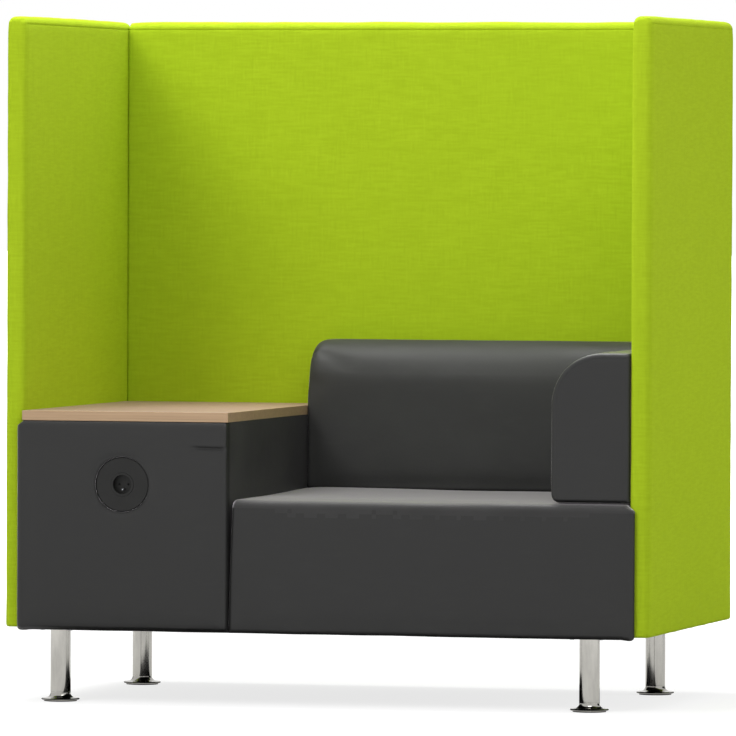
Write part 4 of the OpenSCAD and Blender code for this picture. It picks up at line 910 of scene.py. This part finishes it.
def armrest():
    """Armrest with a large rounding along its inner top and a seam round its front end."""
    low, high = (np.array(c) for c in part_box("armrest_cover"))
    low[X] += ARMREST_CROWN - ARMREST_OUT
    seam = ARMREST_FACE_R + ARMREST_SEAM_INSET

    def edges(_):
        return [((Y, LOW), (X, LOW), ARMREST_FACE_R), ((Y, LOW), (Z, HIGH), ARMREST_FACE_R),
                ((Y, LOW), (X, HIGH), ARMREST_OUTER_R), ((Y, LOW), (Z, LOW), ARMREST_FACE_R),
                ((X, LOW), (Z, LOW), BOX_R), ((X, HIGH), (Z, HIGH), ARMREST_OUTER_TOP_R),
                ((X, LOW), (Z, HIGH), ARMREST_R)]

    side_stops = [low[X] + seam + d for d in SEAM_STOPS]
    top_stops = [high[Z] - seam + d for d in SEAM_STOPS]
    lines = [places(low[X], high[X], ARMREST_R, ARMREST_OUTER_R, PAD_STEP, side_stops),
             places(low[Y], high[Y], ARMREST_FACE_R, 0, PAD_STEP),
             places(low[Z], high[Z], ARMREST_FACE_R, ARMREST_R, PAD_STEP, top_stops)]
    flat, quads = lattice(lines)
    points = rounded(flat, low, high, edges(flat))

    def held(spots):
        free = at(spots, X, low[X]) | at(spots, Z, high[Z])
        free &= (spots[:, Z] > low[Z] + ON_FACE) & (spots[:, X] < high[X] - ON_FACE)
        free &= (spots[:, Y] > low[Y] + ON_FACE) & (spots[:, Y] < high[Y] - ON_FACE)
        return np.where(free, 0.0, 1.0)

    def most(spots):
        side = smooth_step(high[X], low[X], spots[:, X])
        side *= smooth_step(low[Y], low[Y] + SWELL_FADE, spots[:, Y])
        above = smooth_step(low[Z], low[Z] + FOOT_FADE, spots[:, Z])
        return ARMREST_CROWN * side * above + LEAST_SWELL

    plain_swell = hump(low[Y], high[Y], flat[:, Y]) * hump(low[Z], high[Z], flat[:, Z])
    plain_swell *= ARMREST_CROWN * at(flat, X, low[X])
    points = swelled(low, high, edges, held, most, flat, points)
    inset = np.minimum(flat[:, X] - low[X], high[Z] - flat[:, Z])
    groove = -SEAM_DEPTH * ARMREST_SEAM_SHARE * bell(inset - seam, SEAM_WIDTH) * at(flat, Y, low[Y])
    shown = smooth_step(high[Y], high[Y] - SWELL_FADE, flat[:, Y])
    move = groove + unevenness(flat, ARMREST_WAVES) * shown
    points = points + normals_of(points, quads) * move[:, None]
    toe = smooth_step(low[Y] + ARMREST_TOE_Y, low[Y], flat[:, Y])
    toe *= smooth_step(low[Z] + ARMREST_TOE_Z, low[Z], flat[:, Z])
    points[:, Z] += ARMREST_TOE * toe
    points[:, X] += ARMREST_TOE * toe * smooth_step(low[X] + ARMREST_TOE_X, low[X], flat[:, X])
    made = piece("armrest_upholstery", points, quads, "leatherette")
    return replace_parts(made, "armrest_cover")


# CAD nodes that stay: better materials, and small bevels on the table

def dress_nodes():
    """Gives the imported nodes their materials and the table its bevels, which need plain normals."""
    for name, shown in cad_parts.items():
        for slot in shown.material_slots:
            slot.material = MATERIALS[slot.material.name]
        if name in BEVELLED:
            custom = shown.data.attributes.get("custom_normal")
            if custom:
                shown.data.attributes.remove(custom)
            weld = shown.modifiers.new("weld", "WELD")
            weld.merge_threshold = WELD
            bevel = shown.modifiers.new("bevel", "BEVEL")
            bevel.width = BEVEL
            bevel.segments = 2
            bevel.limit_method = "ANGLE"
            bevel.angle_limit = BEVEL_ANGLE
            bevel.harden_normals = True


# Studio: floor, lamps, cards and the world

def white_for_eyes(tree, plain, kind, strength, share=1.0):
    """A shader that camera, glossy and transmission rays see as plain white light, wholly or in part."""
    path = node(tree, "ShaderNodeLightPath")
    seen = maths(tree, "MAXIMUM", path.outputs["Is Camera Ray"], path.outputs["Is Glossy Ray"])
    seen = maths(tree, "MAXIMUM", seen, path.outputs["Is Transmission Ray"])
    factor = maths(tree, "MULTIPLY", seen, share)
    white = node(tree, kind, {"Color": (1, 1, 1, 1), "Strength": strength})
    return node(tree, "ShaderNodeMixShader", {0: factor, 1: plain, 2: white.outputs[0]}).outputs[0]


def make_world():
    """An even white world, brighter to the eye than it is as a light."""
    world = bpy.data.worlds.new("studio")
    bpy.context.scene.world = world
    world.use_nodes = True
    tree = world.node_tree
    plain = tree.nodes["Background"]
    plain.inputs["Color"].default_value = (1, 1, 1, 1)
    plain.inputs["Strength"].default_value = AMBIENT
    shown = white_for_eyes(tree, plain.outputs[0], "ShaderNodeBackground", 1)
    tree.links.new(shown, tree.nodes["World Output"].inputs["Surface"])


def make_floor():
    """A grey floor that turns white to the eye away from the middle."""
    half = FLOOR_HALF
    corners = [(-half, -half, 0), (half, -half, 0), (half, half, 0), (-half, half, 0)]
    mesh = bpy.data.meshes.new("floor")
    mesh.from_pydata(corners, [], [(0, 1, 2, 3)])
    made, tree, shader = new_shader("floor")
    shader.inputs["Base Color"].default_value = (FLOOR_GREY, FLOOR_GREY, FLOOR_GREY, 1)
    shader.inputs["Roughness"].default_value = 0.9
    shader.inputs["Specular IOR Level"].default_value = 0
    place = node(tree, "ShaderNodeTexCoord").outputs["Object"]
    away = node(tree, "ShaderNodeVectorMath", {0: place}, operation="LENGTH").outputs["Value"]
    share = ramp(tree, away, FLOOR_NEAR, FLOOR_FAR, FLOOR_WHITE, 1)
    shown = white_for_eyes(tree, shader.outputs[0], "ShaderNodeEmission", FLOOR_LIGHT, share)
    tree.links.new(shown, tree.nodes["Material Output"].inputs["Surface"])
    mesh.materials.append(made)
    floor = bpy.data.objects.new("floor", mesh)
    bpy.context.scene.collection.objects.link(floor)


def lamp(name, place, target, size, power, glossy=False, diffuse=True):
    """A rectangular lamp that looks at a target and isn't seen itself."""
    data = bpy.data.lights.new(name, "AREA")
    data.shape = "RECTANGLE"
    data.size, data.size_y = size
    data.energy = power
    made = bpy.data.objects.new(name, data)
    bpy.context.scene.collection.objects.link(made)
    made.location = place
    made.rotation_mode = "QUATERNION"
    made.rotation_quaternion = (Vector(place) - Vector(target)).to_track_quat("Z", "Y")
    made.visible_camera = False
    made.visible_glossy = glossy
    made.visible_diffuse = diffuse


def dark_card(name, place, size, turn, tilt=0.0):
    """A black card that only reflections see: it draws the dark streaks in the chrome, and as painted
    shade it darkens what reflects the floor under the seat.
    """
    w, h = size[0] / 2, size[1] / 2
    mesh = bpy.data.meshes.new(name)
    mesh.from_pydata([(-w, 0, -h), (w, 0, -h), (w, 0, h), (-w, 0, h)], [], [(0, 1, 2, 3)])
    made, _, shader = new_shader(name)
    shader.inputs["Base Color"].default_value = (CARD_GREY, CARD_GREY, CARD_GREY, 1)
    shader.inputs["Roughness"].default_value = 1
    shader.inputs["Specular IOR Level"].default_value = 0
    mesh.materials.append(made)
    card = bpy.data.objects.new(name, mesh)
    bpy.context.scene.collection.objects.link(card)
    card.location = place
    card.rotation_euler = (tilt, 0, turn)
    card.visible_camera = card.visible_diffuse = card.visible_shadow = False
    card.visible_transmission = card.visible_volume_scatter = False


def make_camera():
    """The photograph's camera, slightly rolled; back points from its target to it."""
    data = bpy.data.cameras.new("camera")
    data.sensor_width = SENSOR_MM
    data.lens = FOCAL_PIXELS * SENSOR_MM / IMAGE_WIDTH
    data.clip_start, data.clip_end = CAMERA_CLIP
    made = bpy.data.objects.new("camera", data)
    bpy.context.scene.collection.objects.link(made)
    back = Vector((math.sin(CAMERA_AZIMUTH) * math.cos(CAMERA_ELEVATION),
                   -math.cos(CAMERA_AZIMUTH) * math.cos(CAMERA_ELEVATION), math.sin(CAMERA_ELEVATION)))
    right = back.cross(Vector((0, 0, 1))).normalized() * -1
    up = back.cross(right)
    turn = Matrix((right, up, back)).transposed().to_4x4() @ Matrix.Rotation(CAMERA_ROLL, 4, "Z")
    made.matrix_world = Matrix.Translation(CAMERA_TARGET + back * CAMERA_DISTANCE) @ turn
    bpy.context.scene.camera = made


make_camera()
panel("left_side_panel", "left_panel_cover", X)
panel("right_side_panel", "right_panel_cover", X)
panel("back_panel", "back_panel_cover", Y)
pedestal()
seat()
backrest()
armrest()
dress_nodes()

make_world()
make_floor()
lamp("key", (-3.0, -6.0, 5.2), (0, 0, 0.8), (2.6, 2.6), 210)
lamp("near_left", (-1.8, -1.9, 2.9), (0, 0, 0.9), (1.4, 1.2), 12)
lamp("near_front", (1.1, -1.9, 2.8), (0.5, -0.2, 0.8), (1.6, 1.0), 24, glossy=True)
lamp("overhead", (-0.7, 0.4, 4.2), (-0.7, 0.4, 0.7), (2.4, 2.4), 155, glossy=True)
lamp("top_shine", (0.2, 1.0, 3.2), (0, 0, 0.6), (2.4, 1.2), 90, glossy=True, diffuse=False)
lamp("right_side", (4.6, 1.2, 1.9), (0.6, 0, 0.8), (2.0, 2.0), 56)
dark_card("card_right", (2.7, 1.9, 0.5), (2.4, 1.6), math.radians(-55))
dark_card("card_left", (-3.0, 1.9, 0.5), (0.7, 1.6), math.radians(58))
dark_card("card_front", (1.5, -6.5, 0.3), (0.35, 1.0), 0)
# Painted shade: a black sheet under the seat that only reflections see stands for the shaded floor there,
# darkening the hems and the feet's flares
dark_card("under_seat_shade_card", (0, -0.06, 0.004), (1.3, 0.92), 0, math.radians(90))

bpy.context.scene.view_settings.view_transform = "Standard"
